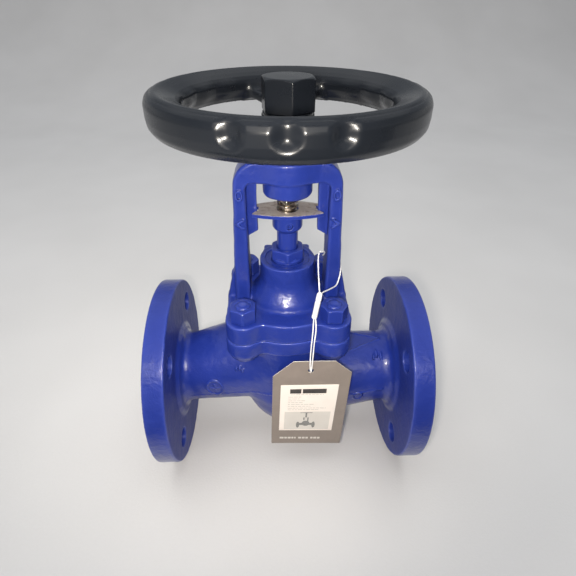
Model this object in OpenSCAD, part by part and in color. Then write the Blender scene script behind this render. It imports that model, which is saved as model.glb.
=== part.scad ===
// Flanged globe stop valve with a yoke, handwheel and bellows seal, DN 50.
// Origin: on the ground under the spindle, where the flange rims stand.
// +X along the pipe (inlet side), +Z up the spindle, -Y is the front. Millimetres.
// Heights inside the modules are measured from the pipe centreline; lift()
// sets the whole valve on its flange rims.

/* [Flanges and body] */
// Face to face length of the valve
face_to_face = 230; // [228:1:240]
// Outside diameter of each end flange
flange_d = 165; // [160:1:170]
// Thickness of the flange without its raised face
flange_t = 17; // [15:1:19]
// Height of the raised sealing face
raised_t = 3; // [2:0.5:3]
// Diameter of the raised sealing face
raised_d = 102; // [96:1:104]
// Bolt circle of the end flanges
flange_pcd = 125; // [122:1:128]
// Diameter of each flange bolt hole
flange_hole_d = 18; // [16:1:19]
// Bore of the pipe ends
port_d = 50; // [46:1:50]
// Radius of the round bowl in the middle of the body
bowl_r = 46; // [45:0.5:47]

/* [Bonnet joint] */
// Height of the joint face between body and bonnet
joint_z = 68; // [68:1:68]
// Thickness of the bonnet flange
bonnet_flange_t = 16.4; // [15:0.2:17]
// Half spacing of the four bonnet studs
stud_pos = 34.6; // [34:0.1:35]
// Stud diameter
stud_d = 12; // [10:1:12]
// Across flats of the bonnet nuts
nut_af = 19; // [17:0.5:19]

/* [Yoke] */
// Half distance between the inner faces of the two arms
arm_in = 30.1; // [30:0.1:31]
// Half distance between the outer faces of the arms at the top
arm_out = 38.6; // [37:0.2:39]
// Depth of an arm, front to back
arm_w = 24; // [20:1:26]
// Height of the top of the yoke
yoke_top = 198; // [197:0.5:199]

/* [Spindle] */
// Diameter of the smooth spindle
spindle_d = 16; // [16:1:16]
// Height of the valve disc's sealing edge at rest (seat is 10 below)
disc_z = 26; // [26:1:28]
// Height of the indicator plate's top face at rest
plate_z = 159.4; // [158:0.2:160]

/* [Handwheel] */
// Outside diameter of the handwheel
wheel_d = 179.6; // [170:0.2:182]
// Underside of the handwheel rim
wheel_z0 = 219; // [218:0.5:221]
// Top of the handwheel rim
wheel_z1 = 243.6; // [242:0.2:244]
// Width of the rim's cross-section
rim_w = 23.2; // [21:0.2:24]
// Across flats of the cap nut on top
cap_af = 33; // [30:1:34]

/* [Tag] */
// Thickness of the tag card
tag_t = 0.8; // [0.6:0.1:1]

/* [Hidden] */
$fn = 64;
gap = 0.02;                      // assembly gap

blue = [0.10, 0.15, 0.55];
black = [0.05, 0.05, 0.06];
steel = [0.62, 0.62, 0.64];
gasket_grey = [0.35, 0.35, 0.37];
packing_grey = [0.16, 0.16, 0.17];
plate_grey = [0.5, 0.46, 0.44];
brass = [0.72, 0.55, 0.28];
card_brown = [0.55, 0.5, 0.45];
label_cream = [0.9, 0.88, 0.82];
cord_white = [0.93, 0.93, 0.92];
lock_white = [0.95, 0.95, 0.94];

face_x = face_to_face / 2;       // raised face
rim_x = face_x - raised_t;       // outer face of the flange rim
back_x = rim_x - flange_t;       // inner face of the flange rim
bonnet_top = joint_z + bonnet_flange_t;
stud_r = stud_d / 2;
stud_places = [for (sx = [-1, 1], sy = [-1, 1]) [sx * stud_pos, sy * stud_pos, 0]];
lobe_r = 14;                     // round each stud in the joint outline
gasket_t = 2;

seat_z = disc_z - 10;            // top of the seat ring
seat_h = 9;
seat_r = 28;
throat_r = 21.5;
elbow_x = 72;                    // inner end of each port bore
elbow_r = port_d / 2 - 0.6;

spindle_r = spindle_d / 2;
bellows_z0 = disc_z + 16;
bellows_z1 = 94;
bellows_folds = 36;              // half folds from bottom to top
housing_top = 98;                // top of the bellows bore
housing_r = 17.6;

packing_z = 101;                 // floor of the packing box
packing_r = 12.5;
box_r = packing_r + 0.05;
packing_rings_z = packing_z + 2;
packing_h = 3;                   // height of one packing ring
packing_count = 3;
follower_z = packing_rings_z + packing_count * packing_h;
gland_z = follower_z + 2.5;
neck_top = 118;

pin_z = 150.2;                   // axis of the roll pin
plate_t = 2.8;
hub_r = 17.6;
bridge_z = 180;                  // underside of the yoke bridge
bridge_r = 16;                   // its rounded upper corners
bearing_z0 = 184;
bearing_z1 = 193;
thrust_t = 2;                    // thickness of a thrust washer

wheel_r = wheel_d / 2;
wheel_hub_z = 205;
washer_z = 226;
cap_z = washer_z + 2;
nut_top_r = 10;                  // stem nut where washer and cap nut sit
key_w = 4;                       // width of the key slots

// from the pipe centreline to the ground
module lift() translate([0, 0, flange_d / 2]) children();

// the children and their mirror image across the spindle
module both_sides() {
  children();
  mirror([1, 0, 0]) children();
}
// XZ outline made into a slab, centred on Y
module slab(width) translate([0, width / 2, 0]) rotate([90, 0, 0]) linear_extrude(width) children();

// cylinder along +X from x0 to x1
module x_cyl(x0, x1, r1, r2) {
  translate([x0, 0, 0]) rotate([0, 90, 0])
    cylinder(h = x1 - x0, r1 = r1, r2 = r2 == undef ? r1 : r2);
}
// cylinder along +Z from z0 to z1
module z_cyl(z0, z1, r1, r2) {
  translate([0, 0, z0]) cylinder(h = z1 - z0, r1 = r1, r2 = r2 == undef ? r1 : r2);
}
// ring about +Z
module ring(z0, z1, inner_r, outer_r) difference() {
  z_cyl(z0, z1, outer_r);
  z_cyl(z0 - 1, z1 + 1, inner_r);
}
// hexagonal prism about +Z with a chamfered top, across flats af, first corner at turn
module hex_crowned(z0, z1, af, turn, chamfer) {
  corner_r = af / sqrt(3);
  intersection() {
    rotate([0, 0, turn]) translate([0, 0, z0]) cylinder(h = z1 - z0, r = corner_r, $fn = 6);
    union() {
      z_cyl(z0, z1 - chamfer, corner_r + 1);
      z_cyl(z1 - chamfer, z1, corner_r + chamfer * 0.9, af / 2 + 0.4);
    }
  }
}
// outline of the bonnet joint: a circle with four stud lobes joined by webs
module joint_outline() {
  circle(r = 47, $fn = 96);
  for (place = stud_places) {
    translate(place) circle(r = lobe_r);
    rotate(atan2(place.y, place.x))
      translate([stud_pos - 8, -lobe_r]) square([24, lobe_r * 2]);
  }
}
module stud_holes(z0, z1, r) for (place = stud_places) translate(place) z_cyl(z0, z1, r);

// cross hole for the roll pin
module pin_hole() translate([0, 20, pin_z]) rotate([90, 0, 0]) cylinder(h = 40, r = 2);

// ---------- pressure casing ----------
// end flange on the +X side
module flange_plate() difference() {
  union() {
    x_cyl(back_x, rim_x, flange_d / 2);
    x_cyl(rim_x - 0.5, face_x, raised_d / 2);
    x_cyl(back_x - 9, back_x + 0.5, 34, 41);
  }
  for (i = [0:3]) rotate([45 + 90 * i, 0, 0]) translate([0, flange_pcd / 2, 0])
    x_cyl(back_x - 20, rim_x + 5, flange_hole_d / 2);
}
module body_outside() {
  both_sides() flange_plate();
  translate([0, 0, -3]) sphere(r = bowl_r, $fn = 96);
  // inlet neck, then the outlet neck, which climbs from its port to the chamber
  translate([0, 0, -2]) x_cyl(15, 98, 39, 32.5);
  translate([0, 0, 9]) mirror([1, 0, 0]) rotate([0, 5, 0]) x_cyl(18, 98, 37.5, 30);
  z_cyl(0, joint_z - 8, 42);
  z_cyl(40, joint_z - 12, 42, 46.5);
  // stud bosses under the joint flange
  for (place = stud_places) translate(place) z_cyl(joint_z - 29, joint_z - 12, 5, 12.6);
  translate([0, 0, joint_z - 13]) linear_extrude(13) joint_outline();
  // boss and web under the inlet side of the joint
  slab(18) polygon([[38, 20], [38, 55], [46, 55], [66, 37], [66, 20]]);
}
module outlet_passage(length)
  translate([-73, 0, 0]) rotate([0, 75, 0]) cylinder(h = length, r = 21.5);

module body_inside() {
  both_sides() {
    x_cyl(elbow_x, face_x + 1, port_d / 2);
    translate([elbow_x, 0, 0]) sphere(r = elbow_r);
  }
  // inlet passage runs down under the bridge wall
  translate([73, 0, -1]) rotate([0, -109.2, 0]) cylinder(h = 67, r = 19);
  translate([0, 0, -20]) sphere(r = 23);
  // throat up to the seat ring
  z_cyl(-20, seat_z - 8, throat_r);
  z_cyl(seat_z - seat_h, seat_z + 1, seat_r + gap);
  // chamber over the seat, gasket recess and the step below it
  z_cyl(seat_z, joint_z - 3, 31);
  z_cyl(joint_z - gasket_t, joint_z + 1, 38.5);
  z_cyl(joint_z - 4, joint_z + 1, 33);
  // outlet passage; only its part above the seat runs on into the chamber
  outlet_passage(40.4);
  intersection() {
    outlet_passage(76);
    translate([-80, -40, seat_z]) cube([80, 80, 60]);
  }
  // blind stud holes
  stud_holes(joint_z - 20, joint_z + 1, stud_r + gap);
}
module body() color(blue) lift() difference() {
  union() body_outside();
  body_inside();
}
module seat_ring() color(steel) lift() difference() {
  z_cyl(seat_z - seat_h + gap, seat_z, seat_r);
  z_cyl(seat_z - 10, seat_z + 1, throat_r);
  z_cyl(seat_z - 1.5, seat_z + 0.01, throat_r, 23.2);
}
module bonnet_gasket() color(gasket_grey) lift()
  ring(joint_z - gasket_t + gap, joint_z - gap, 33.2, 38.4);

// ---------- bonnet with yoke ----------
// arm on the +X side; all outlines are [x, z]
module arm() {
  // straight inner face, slightly flared outer face
  slab(arm_w) polygon([
    [arm_in, bonnet_top - 4], [arm_in, 182], [arm_out - 1, 184], [arm_out + 0.3, 176],
    [arm_out + 2.6, 115], [arm_out + 2.6, 104], [arm_out + 1, bonnet_top - 4]]);
  // guide rib for the indicator plate
  slab(6) polygon([
    [arm_in + 1, 132], [arm_in - 1.1, 135], [23, 143], [23, 183], [arm_in + 1, 183]]);
  // outer gusset down to the flange
  slab(8) polygon([
    [arm_out, 116], [arm_out + 2.4, 112], [43.1, 108], [45.9, 97],
    [47.5, bonnet_top - 4], [arm_out - 2, bonnet_top - 4]]);
}
// quarter arc of a bridge corner, side 1 or -1, from angle start
function bridge_corner(side, start) = [for (angle = [start:15:start + 90])
  [side * (arm_out - bridge_r) + bridge_r * cos(angle),
   yoke_top - bridge_r + bridge_r * sin(angle)]];

// shoulder of the bellows housing, [radius, z]
dome_steps = 8;
dome_curve = [for (i = [0:dome_steps]) let (t = i / dome_steps)
  [29.5 - 7.3 * (1 - pow(1 - t, 2.2)), bonnet_top + 15 * t]];

module bonnet() color(blue) lift() difference() {
  union() {
    translate([0, 0, joint_z + gap]) linear_extrude(bonnet_flange_t) joint_outline();
    // domed bellows housing and packing neck
    rotate_extrude($fn = 96) polygon(concat(
      [[0, joint_z + 2], [30, joint_z + 2], [30, bonnet_top]],
      dome_curve,
      [[21.8, neck_top - 1], [21.0, neck_top], [0, neck_top]]));
    both_sides() arm();
    // bridge across the top of the arms
    slab(arm_w) polygon(concat([[-arm_out, bridge_z], [arm_out, bridge_z]],
      bridge_corner(1, 0), bridge_corner(-1, 90)));
    // hub for the spindle nut
    z_cyl(170.6, 173.2, hub_r - 2.6, hub_r);
    z_cyl(173.2, yoke_top, hub_r);
    z_cyl(bridge_z, yoke_top + 2, 22.5);
  }
  stud_holes(joint_z - 1, bonnet_top + 1, stud_r + 0.5);
  // bellows bore, spindle hole, packing box
  z_cyl(joint_z - 1, housing_top, housing_r);
  z_cyl(90, 102, 9);
  z_cyl(packing_z, neck_top + 1, box_r);
  // spindle nut seat
  z_cyl(160, 174, 9.2);
  z_cyl(172, 190, 12.55);
  z_cyl(bearing_z0, yoke_top + 3, 17.05);
}
stud_tip_z = 96.7;               // where the end chamfer starts
module bonnet_studs() color(steel) lift() for (place = stud_places) translate(place) {
  z_cyl(joint_z - 19, stud_tip_z, stud_r);
  z_cyl(stud_tip_z, stud_tip_z + 1, stud_r, stud_r - 1);
}
module bonnet_nuts() color(blue) lift() for (place = stud_places) translate(place) difference() {
  union() {
    z_cyl(bonnet_top + 2 * gap, bonnet_top + 0.6, nut_af / 2 - 0.3);
    hex_crowned(bonnet_top + 0.5, bonnet_top + 12, nut_af,
      turn = place.x * place.y > 0 ? 30 : 0, chamfer = 1.2);
  }
  z_cyl(bonnet_top - 1, bonnet_top + 13, stud_r + gap);
}

// ---------- bellows seal ----------
// zigzag of [radius, z] through the fold numbers in order
function bellows_line(order, root_r, crest_r) = [for (i = order)
  [i % 2 == 0 ? root_r : crest_r,
   bellows_z0 + gap + (bellows_z1 - bellows_z0 - 2 * gap) * i / bellows_folds]];

module bellows() color(steel) lift() rotate_extrude() polygon(concat(
  bellows_line([0:bellows_folds], 10.6, 16),
  bellows_line([bellows_folds:-1:0], 9.9, 15.3)));
module bellows_top_ring() color(steel) lift()
  ring(bellows_z1, housing_top - gap, spindle_r + 0.3, 17.5);
module bellows_end_cap() color(steel) lift() difference() {
  union() {
    z_cyl(bellows_z0 - 3.4, bellows_z0, 16.5);
    z_cyl(bellows_z0 - 3.8, bellows_z0 - 3.3, 13);
  }
  z_cyl(30, 50, spindle_r + gap);
}
module packing_base_ring() color(steel) lift()
  ring(packing_z + gap, packing_rings_z - gap, spindle_r + 0.3, packing_r);
module packing_rings() color(packing_grey) lift() for (i = [0:packing_count - 1]) {
  z0 = packing_rings_z + packing_h * i;
  ring(z0 + (i == 0 ? gap : 0.01), z0 + packing_h - 0.01, spindle_r + 0.06, packing_r);
}
module gland_follower() color(steel) lift()
  ring(follower_z + gap, gland_z - gap, spindle_r + 0.15, packing_r);
module gland_nut() color(blue) lift() difference() {
  union() {
    z_cyl(gland_z, neck_top + 0.5, packing_r);
    z_cyl(neck_top + gap, neck_top + 1.3, 13);
    hex_crowned(neck_top + 1.2, 128.4, 24, turn = 30, chamfer = 1.4);
  }
  z_cyl(110, 135, spindle_r + 0.1);
}

// ---------- spindle group, slides ----------
module stem() color(blue) lift() difference() {
  // [radius, z]: collar at the foot, long shank, chamfered tip
  rotate_extrude() polygon([
    [0, disc_z + 4.6], [10.4, disc_z + 4.6], [11, disc_z + 5.2], [11, disc_z + 8],
    [spindle_r, disc_z + 8], [spindle_r, 156.6],
    [spindle_r - 0.05, 156.6], [spindle_r - 0.05, 230.6], [6.6, 232], [0, 232]]);
  pin_hole();
}
module disc() color(steel) lift() difference() {
  // [radius, z]
  rotate_extrude($fn = 96) polygon([
    [0, disc_z - 1.4], [21.5, disc_z - 1.4], [23.05, disc_z], [26.5, disc_z + 3.4],
    [26.5, disc_z + 8], [19, disc_z + 12], [0, disc_z + 12]]);
  z_cyl(disc_z + 4.5, disc_z + 13, 11.4);
  z_cyl(disc_z + 8.2, disc_z + 13, 14);
}
module disc_retainer() color(steel) lift()
  ring(disc_z + 8.25, disc_z + 12, spindle_r + 0.3, 13.9);

collar_r = 11.3;
module guide_collar() color(blue) lift() difference() {
  union() {
    z_cyl(140.7, 144.6, 8.4, collar_r);
    z_cyl(144.6, 155.6, collar_r);
    z_cyl(155.6, plate_z - plate_t - gap, collar_r, 10.4);
  }
  z_cyl(139, 160, spindle_r + gap);
  pin_hole();
}
module roll_pin() color(steel) lift() translate([0, 9.4, pin_z]) rotate([90, 0, 0]) difference() {
  cylinder(h = 18.8, r = 1.95);
  translate([0, 0, -1]) cylinder(h = 21, r = 1.15);
}
// plate outline: bowed front and back edges, notches round the two guide ribs
front_x = 25.8;                  // half width at the front edge
rear_x = 23.4;                   // half width at the back edge
// +X end of the plate, front to back, [x, y]
plate_end = [[front_x, -7.5], [23.6, -4.2], [21.5, -4.0], [21.5, 4.0], [rear_x, 4.2], [rear_x, 8.7]];
plate_outline = concat(
  [for (i = [-8:8]) let (x = i * front_x / 8) [x, -14.3 + 4.8 * pow(x / front_x, 2)]],
  plate_end,
  [for (i = [7:-1:-7]) let (x = i * rear_x / 8) [x, 14.3 - 5.6 * pow(x / rear_x, 2)]],
  [for (i = [5:-1:0]) [-plate_end[i].x, plate_end[i].y]]);
module indicator_plate() color(plate_grey) lift()
  translate([0, 0, plate_z - plate_t]) difference() {
    linear_extrude(plate_t) polygon(plate_outline);
    translate([0, 0, -1]) cylinder(h = 5, r = spindle_r + gap);
  }

// ---------- rotating group ----------
module stem_nut() color(brass) lift() difference() {
  union() {
    z_cyl(172.3, wheel_hub_z, 12.5);
    // collar between the thrust washers
    z_cyl(bearing_z0 + thrust_t + 0.05, bearing_z1 - thrust_t - 0.05, 16.6);
    z_cyl(wheel_hub_z, washer_z, 11);
    z_cyl(washer_z - 0.1, 240, nut_top_r);
  }
  z_cyl(170, 200, spindle_r);
  z_cyl(199, 242, 8.6);
  translate([-key_w / 2, -11.5, 206]) cube([key_w, 2.6, 18]);
}
module thrust_washers() color(steel) lift() {
  ring(bearing_z0 + gap, bearing_z0 + thrust_t, 12.7, 16.9);
  ring(bearing_z1 - thrust_t, bearing_z1 - gap, 12.7, 16.9);
}
module bearing_retainer() color(blue) lift() difference() {
  union() {
    z_cyl(bearing_z1, yoke_top + 2.5, 17);
    z_cyl(yoke_top + 2 + gap, yoke_top + 5.5, 20);
  }
  z_cyl(190, 210, 12.75);
  for (angle = [0:90:270]) rotate([0, 0, angle])
    translate([16.5, 0, yoke_top + 2.5]) cylinder(h = 5, r = 1.6);
}
rim_in = wheel_r - rim_w;
// rim section [radius, z]: rounded outer edge, crown, slope in to the inner edge
rim_section = [
  [wheel_r - 8.8, wheel_z0], [wheel_r - 5.2, wheel_z0 + 0.6], [wheel_r - 2.2, wheel_z0 + 2.6],
  [wheel_r - 0.4, wheel_z0 + 6], [wheel_r, wheel_z0 + 10], [wheel_r, wheel_z1 - 10.6],
  [wheel_r - 0.9, wheel_z1 - 6.1], [wheel_r - 2.8, wheel_z1 - 2.8],
  [wheel_r - 5.8, wheel_z1 - 0.8], [wheel_r - 10.8, wheel_z1],
  [wheel_r - 15.8, wheel_z1 - 1.4], [wheel_r - 21.8, wheel_z1 - 3.8],
  [rim_in, wheel_z1 - 5.6], [rim_in + 0.9, wheel_z1 - 13.6],
  [rim_in + 3.4, wheel_z0 + 3], [rim_in + 5, wheel_z0 + 0.6], [rim_in + 7, wheel_z0]];
// side view of the spokes, [radius, z]
spoke_section = [
  [12, 208], [18, 207], [36, 211.5], [56, 219.5], [wheel_r - 14, 224],
  [wheel_r - 14, 231], [56, 227.5], [36, 221.5], [18, 218.5], [12, 218.5]];
// one spoke from above, [x, y], flared where it meets the rim
spoke_plan = [
  [10, -8], [30, -8.5], [44, -13], [54, -24], [62, -44], [74, -44], [84, 0],
  [74, 44], [62, 44], [54, 24], [44, 13], [30, 8.5], [10, 8]];
// channel under the rim, [radius, z]
channel_section = [
  [wheel_r - 14.4, wheel_z0 - 1], [wheel_r - 5.4, wheel_z0 - 1], [wheel_r - 6.4, wheel_z0 + 11],
  [wheel_r - 10, wheel_z0 + 14], [wheel_r - 13.6, wheel_z0 + 4]];
grip_r = 13.3;
module handwheel() color(black) lift() difference() {
  union() {
    rotate_extrude($fn = 96) polygon(rim_section);
    z_cyl(wheel_hub_z + gap, washer_z, 19, 17.5);
    intersection() {
      rotate_extrude($fn = 96) polygon(spoke_section);
      union() for (angle = [90, 210, 330]) rotate([0, 0, angle])
        translate([0, 0, 200]) linear_extrude(40) polygon(spoke_plan);
    }
  }
  // hub bore and key slot
  z_cyl(200, 230, 11.05);
  translate([-key_w / 2 - gap, -13.2, 200]) cube([key_w + 2 * gap, 4, 30]);
  rotate_extrude($fn = 96) polygon(channel_section);
  // finger grips, three groups of three
  for (group = [0:120:240], step = [-20, 0, 20]) rotate([0, 0, group + step - 90])
    translate([wheel_r + 9.5, 0, wheel_z1 - 6.6]) {
      sphere(r = grip_r);
      cylinder(h = 12, r = grip_r);
    }
}
module wheel_key() color(steel) lift() translate([-1.95, -12.9, 206.2]) cube([3.9, 3.9, 17.6]);
module wheel_washer() color(steel) lift()
  ring(washer_z + gap, cap_z - gap, nut_top_r + 0.1, 16);
module cap_nut() color(black) lift() difference() {
  hex_crowned(cap_z, 248.7, cap_af, turn = -78.5, chamfer = 2.6);
  z_cyl(cap_z - 1, 240, nut_top_r + 0.04);
  z_cyl(239, 244.5, 9);
}

// ---------- hang tag ----------
tag_y = -50.6;                   // back face of the card
// outlines and hole of the card, [x, z]
tag_hole = [17.3, 43.2];
card_outline = [[-15.6, -46.8], [46.6, -49.4], [50.2, 40.6], [36.3, 53.3], [3.6, 53.4], [-13, 37.7]];
label_outline = [[-9.5, -33], [38.4, -35], [42, 22.6], [-6.6, 24.2]];
module tag_card() color(card_brown) lift()
  translate([0, tag_y, 0]) rotate([90, 0, 0]) linear_extrude(tag_t) difference() {
    polygon(card_outline);
    translate(tag_hole) circle(r = 2.4);
  }
module tag_label() color(label_cream) lift()
  translate([0, tag_y - tag_t - gap, 0]) rotate([90, 0, 0])
    linear_extrude(0.2) polygon(label_outline);

cord_r = 0.55;
cord_sides = 8;
function unit(v) = v / norm(v);
function tangent(path, i) = unit(path[min(i + 1, len(path) - 1)] - path[max(i - 1, 0)]);
// a direction square to t
function across(t) = unit(cross(t, abs(t.y) > 0.95 ? [1, 0, 0] : [0, 1, 0]));
// cord along a list of points, closed at both ends
module cord(path) {
  count = len(path);
  n = cord_sides;
  points = concat(
    [for (i = [0:count - 1]) let (t = tangent(path, i), a = across(t), b = cross(t, a))
      each [for (k = [0:n - 1])
        path[i] + cord_r * (cos(360 * k / n) * a + sin(360 * k / n) * b)]],
    [path[0], path[count - 1]]);
  faces = concat(
    [for (i = [0:count - 2], k = [0:n - 1]) let (k2 = (k + 1) % n) each
      [[i * n + k, (i + 1) * n + k, (i + 1) * n + k2],
       [i * n + k, (i + 1) * n + k2, i * n + k2]]],
    [for (k = [0:n - 1]) [count * n, k, (k + 1) % n]],
    [for (k = [0:n - 1])
      [count * n + 1, (count - 1) * n + (k + 1) % n, (count - 1) * n + k]]);
  polyhedron(points, faces);
}
// Catmull-Rom point between b and c, t from 0 to 1
function spline(a, b, c, d, t) = 0.5 * (2 * b + (c - a) * t
  + (2 * a - 5 * b + 4 * c - d) * t * t + (3 * b - a - 3 * c + d) * t * t * t);
// smooth path through stations, ending one step short of the last one
function curve(stations, steps) = [for (i = [0:len(stations) - 2], j = [0:steps - 1])
  spline(stations[max(i - 1, 0)], stations[i], stations[i + 1],
    stations[min(i + 2, len(stations) - 1)], j / steps)];

// stations are [x, y, z]
// from the joint flange edge down through the card's hole
card_run = [
  [14.9, -50.0, 83.2], [13.6, -51.2, 68], [15.0, -52.2, 55], [16.4, -52.5, 47],
  [17.1, -52.4, 43.8], [17.3, -51.0, 42.6], [17.4, -49.8, 42.8]];
// round the +X yoke arm, both ends above the lock
arm_run = [
  [20.6, -44.6, 114.5], [21.6, -33, 119.0], [23.4, -16, 125.5], [26.0, 0, 127.5],
  [28.3, 10.5, 127.6], [31, 14.2, 126.4], [36, 15.2, 121.5], [42.4, 13.8, 115.8],
  [44.6, 8, 111.5], [44.2, -6, 106.5], [41.2, -14, 104.4], [36.2, -21, 103.2],
  [30.4, -29, 105.6], [24.2, -39, 111.4], [22.4, -42.6, 115.0]];
// from the lock down to the flange edge
tail_run = [[17.4, -46.6, 93.0], [16.6, -47.3, 90.2], [15.6, -48.6, 86.6], [15.1, -49.7, 84.4]];

module tag_cord() color(cord_white) lift() cord(curve(card_run, 3));
module tag_loop() color(cord_white) lift() {
  cord(curve(arm_run, 4));
  cord(curve(tail_run, 4));
}
module cord_lock() color(lock_white) lift()
  translate([17.6, -46.3, 93.6]) rotate([-5, 9, 0]) difference() {
    union() {
      cylinder(h = 18, r = 2.1);
      translate([0, 0, 18]) cylinder(h = 2, r1 = 2.1, r2 = 1.6);
    }
    translate([0, 0, -1]) cylinder(h = 24, r = 1.35);
  }

body();
seat_ring();
bonnet_gasket();
bonnet();
bonnet_studs();
bonnet_nuts();
bellows();
bellows_top_ring();
bellows_end_cap();
packing_base_ring();
packing_rings();
gland_follower();
gland_nut();
stem();
disc();
disc_retainer();
guide_collar();
roll_pin();
indicator_plate();
stem_nut();
thrust_washers();
bearing_retainer();
handwheel();
wheel_key();
wheel_washer();
cap_nut();
tag_card();
tag_label();
tag_cord();
tag_loop();
cord_lock();
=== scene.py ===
"""Flanged globe valve with handwheel and a hang tag on a string, on a pale studio floor.

The pipe runs along X, the spindle stands on Z and the tag hangs on the front, which is -Y.
Shapes are in millimetres with heights measured from the pipe centreline. The floor, the
lights and Blender's own data are in metres from the ground.

Castings and hexagons are signed distance fields (negative inside) meshed by surface nets.
Turned parts are lathed profiles.
"""
import math
from functools import reduce
from itertools import product

import bmesh
import bpy
import numpy as np
from mathutils import Matrix, Vector


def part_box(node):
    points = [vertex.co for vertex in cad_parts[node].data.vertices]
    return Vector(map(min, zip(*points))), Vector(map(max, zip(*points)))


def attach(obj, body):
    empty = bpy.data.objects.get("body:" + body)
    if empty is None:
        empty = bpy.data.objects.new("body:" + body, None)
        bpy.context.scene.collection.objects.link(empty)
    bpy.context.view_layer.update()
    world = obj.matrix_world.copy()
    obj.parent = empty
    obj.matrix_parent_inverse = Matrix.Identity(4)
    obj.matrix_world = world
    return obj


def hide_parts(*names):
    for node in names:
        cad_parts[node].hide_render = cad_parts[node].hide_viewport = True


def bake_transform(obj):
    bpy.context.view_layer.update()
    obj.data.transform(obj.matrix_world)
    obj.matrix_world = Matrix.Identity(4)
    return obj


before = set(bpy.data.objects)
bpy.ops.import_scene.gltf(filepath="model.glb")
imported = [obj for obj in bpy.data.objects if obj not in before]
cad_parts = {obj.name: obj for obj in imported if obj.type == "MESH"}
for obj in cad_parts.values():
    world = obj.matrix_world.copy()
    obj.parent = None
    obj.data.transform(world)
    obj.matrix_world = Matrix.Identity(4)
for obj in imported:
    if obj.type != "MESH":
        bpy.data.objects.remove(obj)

F32 = np.float32
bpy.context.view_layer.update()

# ---------------------------------------------------------------- driving dimensions, mm
AXIS_Z = (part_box("body")[0].z * 1000) + 82.5    # pipe centreline above the ground
LIFT = np.array([0, 0, AXIS_Z])
FLANGE_R = 82.38
BOLT_CIRCLE_R = 62.5
BOLT_YZ = BOLT_CIRCLE_R * math.cos(math.radians(45))
STUD_XY = 34.6              # bonnet studs, from the spindle axis along x and along y
STUD_R = 5.9
BONNET_BASE, BONNET_TOP = 68.25, 84.4           # bonnet flange
SPINDLE_R = 8.0
THREAD_PITCH = 4.0
COLLAR_PIN_Z = 149.5

# ---------------------------------------------------------------- meshing
BLOCK = 8                   # grid points along one side of a sampling block
BATCH = 1200                # blocks sampled at once
FACE_LIMIT = 190000         # triangles in one casting
CORNERS = list(product((0, 1), repeat=3))


# ---------------------------------------------------------------- field operations
def smooth_min(a, b, k):
    """Union, blended over k."""
    h = np.clip(0.5 + 0.5 * (b - a) / k, 0, 1)
    return b + (a - b) * h - k * h * (1 - h)


def smooth_max(a, b, k):
    return -smooth_min(-a, -b, k)


def carve(solid, tool, k):
    return smooth_max(solid, -tool, k)


def union(*parts):
    return reduce(np.minimum, parts)


def both(a, b, r):
    """Both half spaces, their common edge rounded with radius r."""
    a, b = a + r, b + r
    outside = np.sqrt(np.maximum(a, 0) ** 2 + np.maximum(b, 0) ** 2)
    return np.minimum(np.maximum(a, b), 0) + outside - r


def hypot(a, b):
    return np.sqrt(a * a + b * b)


def slab(v, middle, half):
    return np.abs(v - middle) - half


def between(v, low, high):
    return slab(v, (low + high) / 2, (high - low) / 2)


def round_corner(u, v, u_edge, v_edge, r):
    """Quarter plane below both edges, its corner rounded with radius r."""
    u, v = u - (u_edge - r), v - (v_edge - r)
    return np.where((u > 0) & (v > 0), hypot(u, v), np.maximum(u, v)) - r


def chamfer(r, radius, rise):
    """Cone at 30 degrees to the horizontal; rise is measured from where it has this radius."""
    return (r - radius) * 0.5 + rise * 0.866


def segment(x, y, z, start, end):
    """Distance to the segment from start to end."""
    a, b = np.array(start, F32), np.array(end, F32)
    d = b - a
    t = ((x - a[0]) * d[0] + (y - a[1]) * d[1] + (z - a[2]) * d[2]) / float(d @ d)
    t = np.clip(t, 0, 1)
    return np.sqrt((x - a[0] - t * d[0]) ** 2 + (y - a[1] - t * d[1]) ** 2
                   + (z - a[2] - t * d[2]) ** 2)


def ellipsoid(x, y, z, centre, radii):
    u, v, w = [(q - c) / r for q, c, r in zip((x, y, z), centre, radii)]
    k0 = np.sqrt(u * u + v * v + w * w)
    k1 = np.sqrt((u / radii[0]) ** 2 + (v / radii[1]) ** 2 + (w / radii[2]) ** 2)
    return k0 * (k0 - 1) / np.maximum(k1, 1e-6)


def hexagon(x, y, across_flats, turn, k):
    """Distance to a hexagon turned by some degrees, its corners blended over k."""
    sides = []
    for i in range(3):
        a = math.radians(turn + 30 + 60 * i)
        sides.append(np.abs(x * math.cos(a) + y * math.sin(a)) - across_flats / 2)
    return reduce(lambda d, side: smooth_max(d, side, k), sides)


def smooth_curve(xs, ys, width, step=0.25):
    """A lookup of ys over xs with its corners rounded off over width."""
    grid = np.arange(xs[0] - 6 * width, xs[-1] + 6 * width, step)
    values = np.interp(grid, xs, ys)
    bell = np.exp(-0.5 * (np.arange(-3 * width, 3 * width + step, step) / width) ** 2)
    pad = len(bell) // 2
    values = np.pad(values, pad, mode="edge")
    values = np.convolve(values, bell / bell.sum(), mode="same")[pad:-pad]
    return lambda t: np.interp(t, grid, values).astype(F32)


def make_waves(count=26):
    """Wave vectors and phases of the casting waviness."""
    rng = np.random.default_rng(11)
    direction = rng.normal(size=(count, 3))
    direction /= np.linalg.norm(direction, axis=1)[:, None]
    length = rng.uniform(6.0, 26.0, count)
    phase = rng.uniform(0, 6.28, count)
    vectors = (direction * 2 * math.pi / length[:, None]).astype(F32)
    return list(zip(vectors, phase.astype(F32)))


WAVES = make_waves()


def wobble(x, y, z):
    """Slow waviness of a sand casting, about -1 to 1."""
    total = np.zeros_like(x)
    for wave, phase in WAVES:
        total += np.sin(x * wave[0] + y * wave[1] + z * wave[2] + phase)
    return total * (1 / 4.5)


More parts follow.
